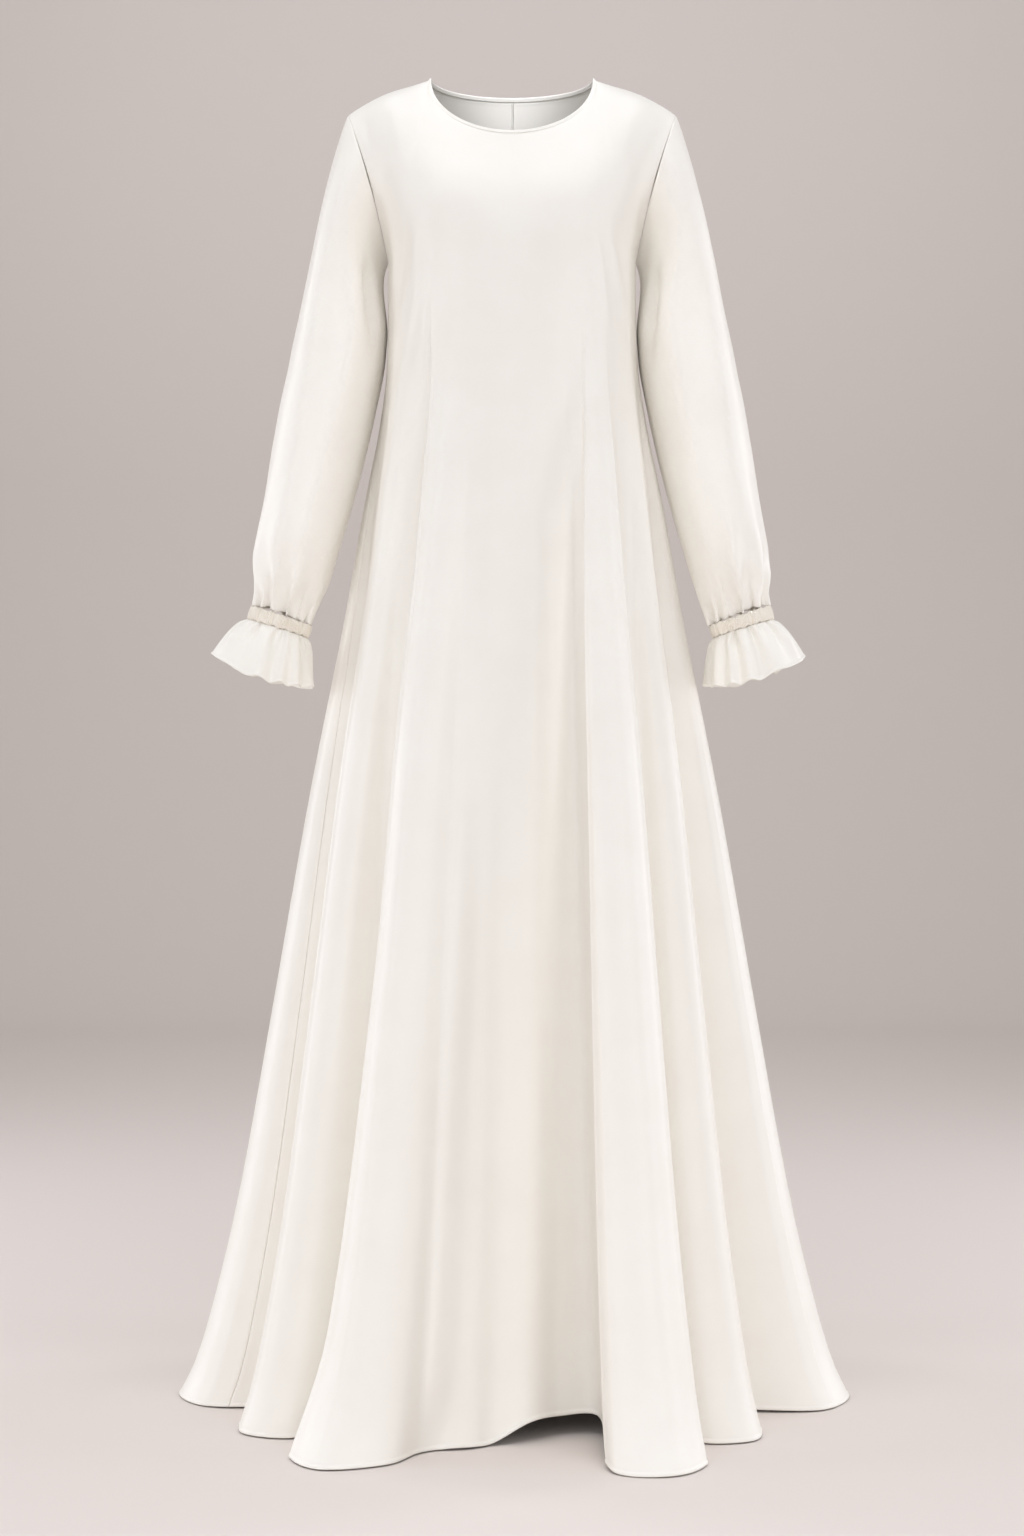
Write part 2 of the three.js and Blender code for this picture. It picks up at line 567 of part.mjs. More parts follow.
function sleeveGeometry(side) {
  const azimuths = ringAzimuths(sleeveColumns);
  const head = headShares.map((share) => azimuths.map((a) => sleeveHeadPoint(side, a, share)));
  const arm = sleeveDrops.map((drop) =>
    azimuths.map((a) => tubePoint(side, sleeveRows, a, drop, gatherPush(side, a, drop))),
  );
  const outer = [...head, ...arm];
  const atArmhole = (i, j) => (i === 0 ? armholeNormal(side, azimuths[j]) : null);
  return wallGeometry(outer, tubeInner(outer, cloth, atArmhole), true);
}

// ---- cuffs and ruffles -----------------------------------------------------------------------------
function cuffGeometry(side) {
  const azimuths = ringAzimuths(2 * ribs.count);
  const drops = [cuffRows[0].drop, (cuffRows[0].drop + cuffRows[1].drop) / 2, cuffRows[1].drop];
  const ring = (drop, push) => azimuths.map((a, j) => tubePoint(side, cuffRows, a, drop, push(j)));
  const raised = (j) => (j % 2 ? 0 : ribs.height);
  const outer = drops.map((drop) => ring(drop, raised));
  const inner = drops.map((drop) => ring(drop, () => -cloth));
  return wallGeometry(outer, inner, true);
}

function rufflePoint(side, azimuth, drop) {
  const angle = radians(azimuth);
  const top = ruffleRows[0].drop;
  const down = (drop - top) / (ruffleRows.at(-1).drop - top);
  const uneven = ruffle.unevenness * Math.sin(2 * angle + side);
  const wave = Math.sin(ruffle.waves * (angle + uneven) + ruffle.turn * side);
  const depth = mix(ruffle.topDepth, ruffle.hemDepth, down ** ruffle.opening);
  const point = tubePoint(side, ruffleRows, azimuth, drop, depth * wave);
  point.z += ruffle.hemLift * down ** 2 * wave - ruffle.droop * down * Math.cos(angle) ** 2;
  return point;
}

function ruffleGeometry(side) {
  const azimuths = ringAzimuths(ruffleColumns);
  const outer = ruffleRows.map((row) => azimuths.map((a) => rufflePoint(side, a, row.drop)));
  return wallGeometry(outer, tubeInner(outer, cloth), true);
}

// ---- the garment -----------------------------------------------------------------------------------
const ivoryCrepe = new THREE.MeshStandardMaterial({
  name: 'ivory_crepe',
  color: 0xf2ece2,
  roughness: 0.62,
  metalness: 0,
});
const shirredElastic = new THREE.MeshStandardMaterial({
  name: 'shirred_elastic',
  color: 0xece4d8,
  roughness: 0.7,
  metalness: 0,
});

const abaya = new THREE.Group();
function addPiece(name, geometry, material) {
  geometry.computeVertexNormals();
  const mesh = new THREE.Mesh(geometry, material);
  mesh.name = name;
  abaya.add(mesh);
}

Object.entries(panels).forEach(([name, panel]) => addPiece(name, panelGeometry(panel), ivoryCrepe));
addPiece('neck_binding', bindingGeometry(), ivoryCrepe);
[
  ['left', 1],
  ['right', -1],
].forEach(([name, side]) => {
  addPiece(`sleeve_${name}`, sleeveGeometry(side), ivoryCrepe);
  addPiece(`cuff_${name}`, cuffGeometry(side), shirredElastic);
  addPiece(`ruffle_${name}`, ruffleGeometry(side), ivoryCrepe);
});

export default abaya;
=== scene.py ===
import math

import bpy
import numpy as np
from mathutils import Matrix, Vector


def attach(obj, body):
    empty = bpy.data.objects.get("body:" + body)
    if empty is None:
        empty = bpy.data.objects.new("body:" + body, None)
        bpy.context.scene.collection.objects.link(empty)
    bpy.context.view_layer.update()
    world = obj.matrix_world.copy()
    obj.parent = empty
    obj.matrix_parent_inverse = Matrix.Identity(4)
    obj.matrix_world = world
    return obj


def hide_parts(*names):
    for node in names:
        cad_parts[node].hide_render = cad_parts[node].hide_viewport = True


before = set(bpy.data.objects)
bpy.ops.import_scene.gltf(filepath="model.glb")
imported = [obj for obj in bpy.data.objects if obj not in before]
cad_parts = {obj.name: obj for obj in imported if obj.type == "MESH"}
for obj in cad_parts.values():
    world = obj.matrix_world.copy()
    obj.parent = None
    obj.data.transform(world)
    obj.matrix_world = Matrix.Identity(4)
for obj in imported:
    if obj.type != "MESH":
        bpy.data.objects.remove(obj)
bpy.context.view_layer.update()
scene = bpy.context.scene
print("frame loaded:", sorted(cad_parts))

studioCamera = {"place": (0.0, -3.07, -0.748), "lens": 64.76, "sensor": 36.0, "clipEnd": 60}


def addCamera(values):
    lens = bpy.data.cameras.new("studioCamera")
    lens.sensor_fit = "VERTICAL"
    lens.sensor_height = values["sensor"]
    lens.lens = values["lens"]
    lens.clip_end = values["clipEnd"]
    camera = bpy.data.objects.new("studioCamera", lens)
    camera.location = values["place"]
    camera.rotation_euler = (math.pi / 2, 0, 0)  # level, looking along +Y
    scene.collection.objects.link(camera)
    scene.camera = camera


addCamera(studioCamera)
print("camera placed")

# Lengths are in millimetres. Azimuths are in degrees from the front (-Y) towards the wearer's left (+X), and
# a drop is measured down from the high shoulder points.


def mix(a, b, t):
    return a + (b - a) * t


def ease(start, end, value):
    # 0 before start and 1 after end, with a cubic between them; start may be the larger
    t = np.clip((value - start) / (end - start), 0, 1)
    return t * t * (3 - 2 * t)


def bell(offset, spread):
    # a soft bump of height 1: e to the minus half of (offset / spread) squared
    return np.exp(-0.5 * (offset / spread) ** 2)


def throughRows(keys, values, at):
    # monotone cubic through (key, value) rows: each slope is the harmonic mean of its two neighbours
    keys, values, at = (np.asarray(a, float) for a in (keys, values, at))
    steps = np.diff(keys)
    rise = np.diff(values) / steps
    both = rise[:-1] * rise[1:]
    total = np.where(np.abs(rise[:-1] + rise[1:]) < 1e-12, 1, rise[:-1] + rise[1:])
    slopes = np.concatenate([rise[:1], np.where(both <= 0, 0, 2 * both / total), rise[-1:]])
    i = np.clip(np.searchsorted(keys, at, side="right") - 1, 0, len(steps) - 1)
    t = np.clip((at - keys[i]) / steps[i], 0, 1)
    keep = (1 + 2 * t) * (1 - t) ** 2 * values[i] + t * t * (3 - 2 * t) * values[i + 1]
    turn = t * (1 - t) ** 2 * slopes[i] + t * t * (t - 1) * slopes[i + 1]
    return keep + turn * steps[i]


def closedCurve(points, at):
    # closed centripetal Catmull-Rom curve: each span is a cubic whose end slopes weigh the chords by the
    # square roots of their lengths; at counts spans
    count = len(points)
    i = np.floor(at).astype(int)
    t = (at - i)[..., None]
    p0, p1, p2, p3 = (points[(i + k) % count] for k in (-1, 0, 1, 2))
    chords = ((p0, p1), (p1, p2), (p2, p3))
    d0, d1, d2 = (np.sqrt(np.linalg.norm(b - a, axis=-1))[..., None] for a, b in chords)
    leave = ((p1 - p0) / d0 - (p2 - p0) / (d0 + d1) + (p2 - p1) / d1) * d1
    arrive = ((p2 - p1) / d1 - (p3 - p1) / (d1 + d2) + (p3 - p2) / d2) * d1
    keep = (1 + 2 * t) * (1 - t) ** 2 * p1 + t * t * (3 - 2 * t) * p2
    return keep + t * (1 - t) ** 2 * leave + t * t * (t - 1) * arrive


def stack(x, y, z):
    return np.stack(np.broadcast_arrays(x, y, z), axis=-1)


def normalsOf(points, closed=False):
    # outward direction at each grid point: the step down the rows crossed with the step along the columns
    down = np.gradient(points, axis=0)
    if closed:
        along = np.roll(points, -1, axis=1) - np.roll(points, 1, axis=1)
    else:
        along = np.gradient(points, axis=1)
    normal = np.cross(down, along)
    return normal / np.maximum(np.linalg.norm(normal, axis=-1, keepdims=True), 1e-9)


def push(points, distance, closed=False):
    return points + normalsOf(points, closed) * distance[..., None]


# The cut is the same as in the part's source.
cut = {
    "length": 1461, "holdDrop": 20, "neckHalfWidth": 93, "neckSideDrop": 0.6, "neckFrontDrop": 77.5,
    "neckBackDrop": 13, "seamDepth": 15, "frontReach": 83, "backReach": 45, "shoulderHalfWidth": 183,
    "shoulderDrop": 42, "shoulderDepth": 8, "straightShare": 0.75, "armholeDrop": 208, "armholeDepth": 50,
    "armholeHollow": 0.08, "chestHalfWidth": 137, "frontDepth": 122, "backDepth": 106, "roundness": 2.4,
    "neckShare": 0.58, "bulgePower": 1.4, "bulgeSkew": 0.75, "leaveTop": 1.6, "leaveTopAtSide": 0.8,
    "seamLag": 0.35, "softenedBy": 0.22, "fullBy": 0.5, "liftPower": 6, "foldShoulder": 0.3,
}
bust = {"apart": 80, "drop": 165, "spreadX": 48, "above": 44, "below": 150, "reach": 14}
shoulderBlade = {"apart": 64, "drop": 130, "spreadX": 50, "above": 50, "below": 160, "reach": 8}
flareRows = np.array([  # drop, flare from chest to hem, depth in front, depth behind
    (208, 0, 122, 106), (260, 0.002, 123, 106), (320, 0.01, 124, 107), (394, 0.055, 124, 107),
    (440, 0.096, 124, 107), (500, 0.146, 123, 107), (579, 0.203, 123, 108), (801, 0.391, 122, 110),
    (1024, 0.557, 120, 112), (1246, 0.73, 118, 112), (1356, 0.84, 118, 112), (1422, 0.923, 118, 112),
    (1461, 1, 118, 112),
])
# each row: azimuth at the chest and at the hem, half-width there, reach before, at and after it, and the
# hem's lift
foldRows = np.array([
    (-101, -90, 11, 344, 370, 344, 0), (-76, -70, 2.5, 264, 255, 264, 1),
    (-58, -55.5, 8, 316, 340, 316, 0), (-44, -43.3, 2, 271, 262, 271, 1),
    (-29, -29.5, 8.5, 363, 391, 344, 0), (-14, -17.3, 1.8, 293, 278, 271, 0),
    (-4, -9, 4, 267, 258, 243, 1), (18, 14.5, 9.5, 228, 206, 211, 20),
    (42, 23.8, 7.7, 371, 399, 371, 0), (57, 36.5, 1.8, 273, 264, 273, 1),
    (69, 48.5, 7.6, 312, 335, 312, 0), (77, 65.5, 3, 259, 250, 259, 2),
    (86, 87.5, 12, 347, 373, 347, 0), (106, 107, 2.5, 267, 258, 267, 2),
    (119, 120, 8.5, 331, 356, 331, 0), (133, 134, 2, 271, 262, 271, 3),
    (146, 148, 8.5, 340, 366, 340, 0), (161, 162.5, 2.5, 267, 258, 267, 4),
    (177, 177.5, 9.5, 335, 360, 335, 0), (193, 192.5, 2, 277, 268, 277, 2),
    (206, 205, 8, 327, 352, 327, 0), (220, 219, 3, 261, 252, 261, 3), (233, 234, 8.5, 326, 350, 326, 0),
    (247, 250.5, 2, 269, 260, 269, 2),
])


def hemPoints():
    # three points a fold: its middle, and a shoulder each side of it
    top, hem, spread, reachBefore, reach, reachAfter, lift = foldRows.T
    before = np.roll(top, 1) - np.where(np.arange(len(top)) == 0, 360, 0)
    after = np.roll(top, -1) + np.where(np.arange(len(top)) == len(top) - 1, 360, 0)
    near = cut["foldShoulder"]
    tops = np.stack([mix(top, before, near), top, mix(top, after, near)], axis=1).ravel()
    angles = np.radians(np.stack([hem - spread, hem, hem + spread], axis=1)).ravel()
    reaches = np.stack([reachBefore, reach, reachAfter], axis=1).ravel()
    return tops, stack(reaches * np.sin(angles), -reaches * np.cos(angles), np.repeat(lift, 3))


hemTops, hemRing = hemPoints()


def hemAt(azimuth):
    # the hem point whose thread runs up to this azimuth of the chest
    count = len(hemTops)
    turned = np.mod(azimuth - hemTops[0], 360) + hemTops[0]
    tops = np.concatenate([hemTops[-3:] - 360, hemTops, hemTops[:3] + 360])
    return closedCurve(hemRing, np.mod(throughRows(tops, np.arange(-3, count + 3), turned), count))


def chestOval(azimuth, depth):
    # distance from the axis so that (x / half-width)^n + (y / depth)^n = 1
    angle, n = np.radians(azimuth), cut["roundness"]
    across = (np.abs(np.sin(angle)) / cut["chestHalfWidth"]) ** n
    distance = (across + (np.abs(np.cos(angle)) / depth) ** n) ** (-1 / n)
    return distance * np.sin(angle), -distance * np.cos(angle)


def sideShare(azimuth, front):
    return (np.abs(azimuth) if front else 180 - np.abs(azimuth)) / 90


def topEdge(azimuth, front):
    # half of the neck's oval, then the shoulder seam falling to the shoulder tip
    share, side = sideShare(azimuth, front), np.where(azimuth < 0, -1, 1)
    turn = np.clip(share / cut["neckShare"], 0, 1) * math.pi / 2
    reach = -cut["frontReach"] if front else cut["backReach"]
    drop = cut["neckFrontDrop"] if front else cut["neckBackDrop"]
    seam = np.clip((share - cut["neckShare"]) / (1 - cut["neckShare"]), 0, 1)
    fall = cut["straightShare"] * seam + (1 - cut["straightShare"]) * seam**4
    onSeam = seam > 0
    neckX, neckY = cut["neckHalfWidth"] * np.sin(turn), cut["seamDepth"] + reach * np.cos(turn)
    x = np.where(onSeam, mix(cut["neckHalfWidth"], cut["shoulderHalfWidth"], seam), neckX)
    y = np.where(onSeam, mix(cut["seamDepth"], cut["shoulderDepth"], seam), neckY)
    neckDrop = mix(cut["neckSideDrop"], drop, np.cos(turn))
    fallen = np.where(onSeam, mix(cut["neckSideDrop"], cut["shoulderDrop"], fall), neckDrop)
    return stack(side * x, y, cut["holdDrop"] - fallen)


def softTopEdge(azimuth, front, blur):
    # the same edge with its neck corner rounded: a running mean over azimuth, turned about the ends
    samples = np.linspace(azimuth.min(), azimuth.max(), 721)
    edge = topEdge(samples, front)
    step = samples[1] - samples[0]
    reach = int(3 * blur / step)
    weights = bell(np.arange(-reach, reach + 1) * step, blur)
    weights /= weights.sum()
    padded = np.concatenate([2 * edge[:1] - edge[reach:0:-1], edge, 2 * edge[-1:] - edge[-2:-reach - 2:-1]])
    smooth = [np.convolve(padded[:, k], weights, "valid") for k in range(3)]
    return np.stack([np.interp(azimuth, samples, values) for values in smooth], -1)


def fullness(azimuth, front, x, z):
    form = bust if front else shoulderBlade
    across = bell(x - form["apart"], form["spreadX"]) + bell(x + form["apart"], form["spreadX"])
    under = cut["holdDrop"] - form["drop"] - z
    tall = bell(under, np.where(under < 0, form["above"], form["below"]))
    return form["reach"] * across * tall * (1 - sideShare(azimuth, front) ** 2)


def upperGrid(azimuth, share, front, blur=6):
    # share 0 is the top edge and 1 the chest: each thread eases between them and bulges at the armhole
    forward, edge = (-1 if front else 1), sideShare(azimuth, front)
    start = topEdge(azimuth, front)[None]
    if blur and azimuth.size > 8:
        soft = softTopEdge(azimuth, front, blur)[None]
        start = mix(start, soft, ease(0, cut["softenedBy"], share)[:, None, None])
    endX, endY = chestOval(azimuth, cut["frontDepth"] if front else cut["backDepth"])
    s, edge = share[:, None], edge[None]
    onSeam = np.clip((edge - cut["neckShare"]) / (1 - cut["neckShare"]), 0, 1)
    bulge = cut["armholeDepth"] * edge ** cut["bulgePower"] * np.sin(math.pi * s ** cut["bulgeSkew"])
    x = mix(start[..., 0], endX, s + cut["armholeHollow"] * np.sin(math.pi * s))
    leave = cut["leaveTop"] + cut["leaveTopAtSide"] * edge**2
    y = mix(start[..., 1], endY, 1 - (1 - s) ** leave) + forward * bulge
    lag = 1 + cut["seamLag"] * np.sin(math.pi * onSeam) ** 2
    z = mix(start[..., 2], cut["holdDrop"] - cut["armholeDrop"], s**lag)
    return stack(x, y + forward * ease(0, cut["fullBy"], s) * fullness(azimuth, front, x, z), z)


def lowerGrid(azimuth, drop, front):
    # each thread runs from the chest oval to its place in the hem's folds, by the flare at its height
    flare = throughRows(flareRows[:, 0], flareRows[:, 1], drop)[:, None]
    depth = throughRows(flareRows[:, 0], flareRows[:, 2 if front else 3], drop)[:, None]
    ringX, ringY = chestOval(azimuth[None], depth)
    hem = hemAt(azimuth)[None]
    level = cut["holdDrop"] - drop[:, None]
    x, y = mix(ringX, hem[..., 0], flare), mix(ringY, hem[..., 1], flare)
    forward = -1 if front else 1
    lift = hem[..., 2] * flare ** cut["liftPower"]
    return stack(x, y + forward * fullness(azimuth, front, x, level), level + lift)


creaseShape = {"swell": 0.25, "die": 0.45, "narrow": 0.7, "wide": 1.25, "tubeSwell": 0.3, "tubeDie": 0.6}


def creaseHeight(x, z, rows):
    # each row is a soft ridge (height over 0) or trough: a bell across a bowed line from (x0, z0) to
    # (x1, z1), swelling from nothing at one end and dying away at the other
    height = np.zeros(np.broadcast(x, z).shape)
    for x0, z0, x1, z1, bow, width, peak in rows:
        t = (z - z0) / (z1 - z0)
        inside = np.clip(t, 0, 1)
        centre = mix(x0, x1, inside) + bow * 4 * inside * (1 - inside)
        fade = ease(0, creaseShape["swell"], t) * ease(1, creaseShape["die"], t)
        spread = width * mix(creaseShape["narrow"], creaseShape["wide"], inside)
        height += peak * fade * bell(x - centre, spread)
    return height


frontCreases = [  # x0, z0, x1, z1, bow, width, height
    # the wearer's right side
    (-139, -25, -128, -95, -2, 6, -1.6), (-160, -32, -152, -84, -1, 5, -1.3),
    (-112, -22, -118, -80, 2, 8, 1.0), (-114, -150, -140, -300, 8, 6, -2.4),
    (-97, -155, -146, -370, 16, 6.5, -2.2), (-105, -150, -130, -330, 10, 7, 1.8),
    (-90, -168, -110, -520, 4, 13, 2.6), (-72, -190, -84, -470, 3, 10, -1.3),
    # the wearer's left side
    (160, -42, 141, -108, 3, 6, -1.7), (172, -40, 160, -92, 2, 5, -1.1),
    (128, -30, 122, -90, -2, 8, 1.0), (99, -148, 113, -262, -3, 6, -2.3),
    (112, -150, 131, -240, -4, 6, -2.0), (106, -150, 122, -260, -3, 6.5, 1.6),
    (88, -170, 88, -540, 2, 13, 2.8), (70, -200, 66, -500, 0, 12, -1.6),
    # thin streaks on both sides
    (-110, -180, -134, -345, 0, 2.6, 1.5), (-93, -176, -142, -395, 5, 2.8, 1.7),
    (95, -178, 111, -310, -3, 2.6, 1.5), (108, -176, 128, -290, 0, 2.6, 1.4),
]
backCreases = [
    (-120, -40, -104, -150, 3, 9, -1.8), (124, -46, 100, -170, -4, 10, -1.9),
    (-60, -30, -70, -170, 2, 12, 1.3), (64, -36, 58, -150, -2, 12, 1.2),
    (-96, -170, -104, -420, 2, 11, -1.9), (92, -190, 96, -460, 2, 12, -1.8),
    (-44, -160, -50, -520, 2, 14, 1.8), (40, -180, 52, -500, 2, 14, 1.9),
]

# each row: azimuth at the chest and below, side of the hollow, the drops where it starts and is full, and the
# hollow's depth
foldEdges = [
    (-39.5, -33, -1, 215, 560, 13), (-62, -61.5, -1, 480, 800, 11), (-82, -83, -1, 620, 900, 3),
    (35.8, 32.8, -1, 235, 560, 8), (46, 46.2, 1, 290, 620, 13), (69, 71, 1, 430, 760, 10),
    (84, 84, 1, 620, 900, 3),
]
backEdges = [
    (112, 113, 1, 560, 900, 5), (127, 127, -1, 400, 760, 6), (153, 154, 1, 420, 800, 6.5),
    (169, 169, -1, 330, 700, 6), (-172, -171, 1, 330, 700, 6), (-160, -160, -1, 420, 800, 5.5),
    (-147, -146, 1, 420, 780, 6.5), (-132, -133, -1, 500, 820, 5.5), (-112, -111, 1, 560, 900, 5),
]
# each row: azimuth at the chest, spread, shifts across and forward, and the drops where it starts, is full
# and begins to end
foldTucks = [
    (-33.5, 3, 11, 0, 600, 980, 1340), (-14.5, 4.5, 0, 15, 560, 1050, 1390),
]
edgeShape = {
    "crest": 0.2, "crestWidth": 2.2, "fall": 2.4, "recover": 24, "driftOver": 420, "narrow": 0.7,
    "wide": 1.5, "wideAt": 1400, "fadeFrom": 1430, "fadeTo": 1500,
}


def edgeHeight(azimuth, points, drop, rows):
    # a crest along a thread of cloth: beside it the cloth falls steeply and comes back slowly, so that each
    # fold laps over the next one
    height = np.zeros(points.shape[:2])
    for top, low, side, start, full, hollow in rows:
        at = mix(top, low, ease(start, start + edgeShape["driftOver"], drop))[:, None]
        perDegree = np.linalg.norm(np.gradient(points, azimuth, axis=1), axis=-1)
        column = np.abs(azimuth[None] - at).argmin(axis=1)
        across = side * (azimuth[None] - at) * perDegree[np.arange(len(drop)), column][:, None]
        fade = ease(edgeShape["fadeTo"], edgeShape["fadeFrom"], drop)
        strength = (ease(start, full, drop) * fade)[:, None]
        grow = mix(edgeShape["narrow"], edgeShape["wide"], ease(full, edgeShape["wideAt"], drop))[:, None]
        beside = np.maximum(across, 0) / grow
        fallen = (1 - np.exp(-((beside / edgeShape["fall"]) ** 2))) * np.exp(-beside / edgeShape["recover"])
        crest = edgeShape["crest"] * bell(across, edgeShape["crestWidth"] * grow)
        height += strength * hollow * (crest - fallen)
    return height


seam = {"gap": 0.12, "turn": 2.4, "dip": 0.8}  # between pieces; how wide and how deep the cloth turns in
cloth = {"wall": 0.9}


def gridMesh(name, points, closed=False):
    # a grid of points, rows down and columns round, becomes quads that face outwards, with UVs in metres
    rows, columns = points.shape[:2]
    index = np.arange(rows * columns).reshape(rows, columns)
    if closed:
        index = np.concatenate([index, index[:, :1]], axis=1)
    a, b, c, d = index[:-1, :-1], index[1:, :-1], index[1:, 1:], index[:-1, 1:]
    faces = np.stack([a, b, c, d], axis=-1).reshape(-1, 4)
    mesh = bpy.data.meshes.new(name)
    mesh.vertices.add(rows * columns)
    mesh.vertices.foreach_set("co", (points.reshape(-1, 3) * 0.001).ravel())
    mesh.loops.add(faces.size)
    mesh.loops.foreach_set("vertex_index", faces.ravel())
    mesh.polygons.add(len(faces))
    mesh.polygons.foreach_set("loop_start", np.arange(0, faces.size, 4))
    mesh.polygons.foreach_set("use_smooth", np.ones(len(faces), bool))
    ring = points if not closed else np.concatenate([points, points[:, :1]], axis=1)
    u = np.concatenate([[0], np.cumsum(np.linalg.norm(np.diff(ring[rows // 2], axis=0), axis=1))])
    v = np.concatenate([[0], np.cumsum(np.linalg.norm(np.diff(ring[:, columns // 2], axis=0), axis=1))])
    uv = np.stack(np.meshgrid(u, -v), axis=-1) * 0.001
    corners = np.stack([uv[:-1, :-1], uv[1:, :-1], uv[1:, 1:], uv[:-1, 1:]], axis=2).reshape(-1, 2)
    mesh.uv_layers.new(name="cloth").data.foreach_set("uv", corners.ravel())
    mesh.update(calc_edges=True)
    mesh.validate()
    piece = bpy.data.objects.new(name, mesh)
    scene.collection.objects.link(piece)
    return piece


def giveWall(piece, thickness):
    wall = piece.modifiers.new("wall", "SOLIDIFY")
    wall.thickness = thickness * 0.001
    wall.offset = -1
    wall.use_even_offset = False


def finishPiece(piece, node, material):
    piece.data.materials.append(material)
    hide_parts(node)
    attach(piece, "root")


def turnedEdge(distance):
    # how the cloth dips in a quarter round where it turns in at a seam
    inward = 1 - np.clip(distance / seam["turn"], 0, 1)
    return -seam["dip"] * (1 - np.sqrt(np.clip(1 - inward**2, 0, 1)))


def rolledHem(above, roll):
    # a thin roll along the hem, with the groove of its stitches above it
    half = roll["tall"] / 2
    proud = roll["proud"] * np.sqrt(np.clip(1 - ((above - half) / half) ** 2, 0, 1))
    return proud - roll["groove"] * bell(above - roll["grooveAt"], roll["grooveWidth"])


def tuckFolds(azimuth, points, drop):
    # a fold's shoulder drawn in sideways, so that the edge is sharper, or a trough filled out to lie smooth
    for at, spread, across, forward, start, full, end in foldTucks:
        strength = (ease(start, full, drop) * ease(cut["length"], end, drop))[:, None]
        strength = strength * bell(azimuth - at, spread)[None]
        points += stack(across * strength, -forward * strength, 0)
    return points


spacing = {"samples": 6001, "hemWeight": 0.6, "crowdWidth": 1.3, "crowding": 2.2}


def evenByHem(start, end, count, edges):
    # azimuths that share out the hem's length, so that each fold is as finely drawn, and crowd at its edges
    fine = np.linspace(start, end, spacing["samples"])
    alongHem = np.linalg.norm(np.diff(hemAt(fine), axis=0), axis=1)
    steps = alongHem * spacing["hemWeight"] + np.radians(np.diff(fine)) * cut["chestHalfWidth"]
    middle = (fine[1:] + fine[:-1]) / 2
    crowd = sum(bell(middle - at, spacing["crowdWidth"]) for row in edges for at in set(row[:2]))
    length = np.concatenate([[0], np.cumsum(steps * (1 + spacing["crowding"] * np.minimum(crowd, 1)))])
    return np.interp(np.linspace(0, length[-1], count), length, fine)


def panelGrid(front, start, end, count, edges):
    # rows and columns stand closer at the seams, the neck and the hem, where the cloth is turned
    fromSeam = np.array([0.12, 0.3, 0.55, 0.9])
    azimuth = evenByHem(start, end, count, edges)
    azimuth = np.unique(np.concatenate([azimuth, start + fromSeam, end - fromSeam]))
    share = np.concatenate([[0, 0.002, 0.005, 0.009, 0.014, 0.02, 0.03], np.linspace(0.042, 0.98, 40)])
    hem = cut["length"] - np.array([18, 13, 9, 6.6, 5.2, 4.4, 3.4, 2.2, 1.1, 0.5, 0])
    drop = np.concatenate([np.linspace(cut["armholeDrop"], 548, 32), np.linspace(566, 1430, 40), hem])
    lower = tuckFolds(azimuth, lowerGrid(azimuth, drop, front), drop)
    points = np.concatenate([upperGrid(azimuth, share, front), lower])
    return azimuth, points, len(share), drop


def edgeDistance(points, column):
    return np.linalg.norm(points - points[:, [column]], axis=-1)


panel = {
    "tall": 4.2, "proud": 0.7, "groove": 0.25, "grooveAt": 5, "grooveWidth": 0.6, "stitchDepth": 0.22,
    "stitchAt": 3.2, "stitchWidth": 0.5, "calmBy": 14,
}


def buildPanel(name, front, start, end, count, creases, edges, material):
    # the panel's smooth form, then its creases, its turned seam edges and its rolled hem
    azimuth, points, upperRows, drop = panelGrid(front, start, end, count, edges)
    x, z = points[..., 0], points[..., 2]
    height = creaseHeight(x, z, creases)
    height[upperRows:] += edgeHeight(azimuth, points[upperRows:], drop, edges)
    nearest = np.minimum(edgeDistance(points, 0), edgeDistance(points, -1))
    aboveHem = np.linalg.norm(points - points[-1:], axis=-1)
    aboveHem[:upperRows] = 999  # no roll near the neck
    belowTop = np.linalg.norm(points - points[:1], axis=-1)
    stitched = -panel["stitchDepth"] * bell(belowTop - panel["stitchAt"], panel["stitchWidth"])
    calm = ease(0, panel["calmBy"], nearest) * ease(0, panel["calmBy"], belowTop)
    points = push(points, height * calm + turnedEdge(nearest) + rolledHem(aboveHem, panel) + stitched)
    piece = gridMesh(name + "_cloth", points)
    giveWall(piece, cloth["wall"])
    finishPiece(piece, name, material)
    print("panel", name, points.shape[:2])
    return piece


# each row of a tube, for sleeve, cuff and ruffle: drop, across, depth, half-width, half-depth, tip in degrees
sleeveRows = np.array([
    (289, 188.8, 0, 50.3, 64, 4), (323, 193.5, -1, 51.8, 65, 7), (368, 202.6, -3, 51.8, 65, 10),
    (417, 212.4, -5, 50.6, 63, 11.5), (474, 224.5, -9, 47.8, 60, 13), (551, 243.1, -15, 44, 53, 16),
    (576, 248, -17, 42, 47, 17), (590, 250.8, -18, 37.6, 39, 18), (599.6, 252.8, -18, 34.6, 33.6, 18.4),
])
sleeveTop, sleeveEnd = sleeveRows[0, 0], sleeveRows[-1, 0]
armSkew = 1.5  # at the wrist the right arm hangs this much further out, and the left this much further in


def roundTube(columns):
    return np.arange(columns) * (360 / columns) - 180


def awayFrom(side, azimuth, centre):
    # degrees from a crease's centre, counted towards the arm's outer side
    return np.mod(side * azimuth[None] - centre + 180, 360) - 180


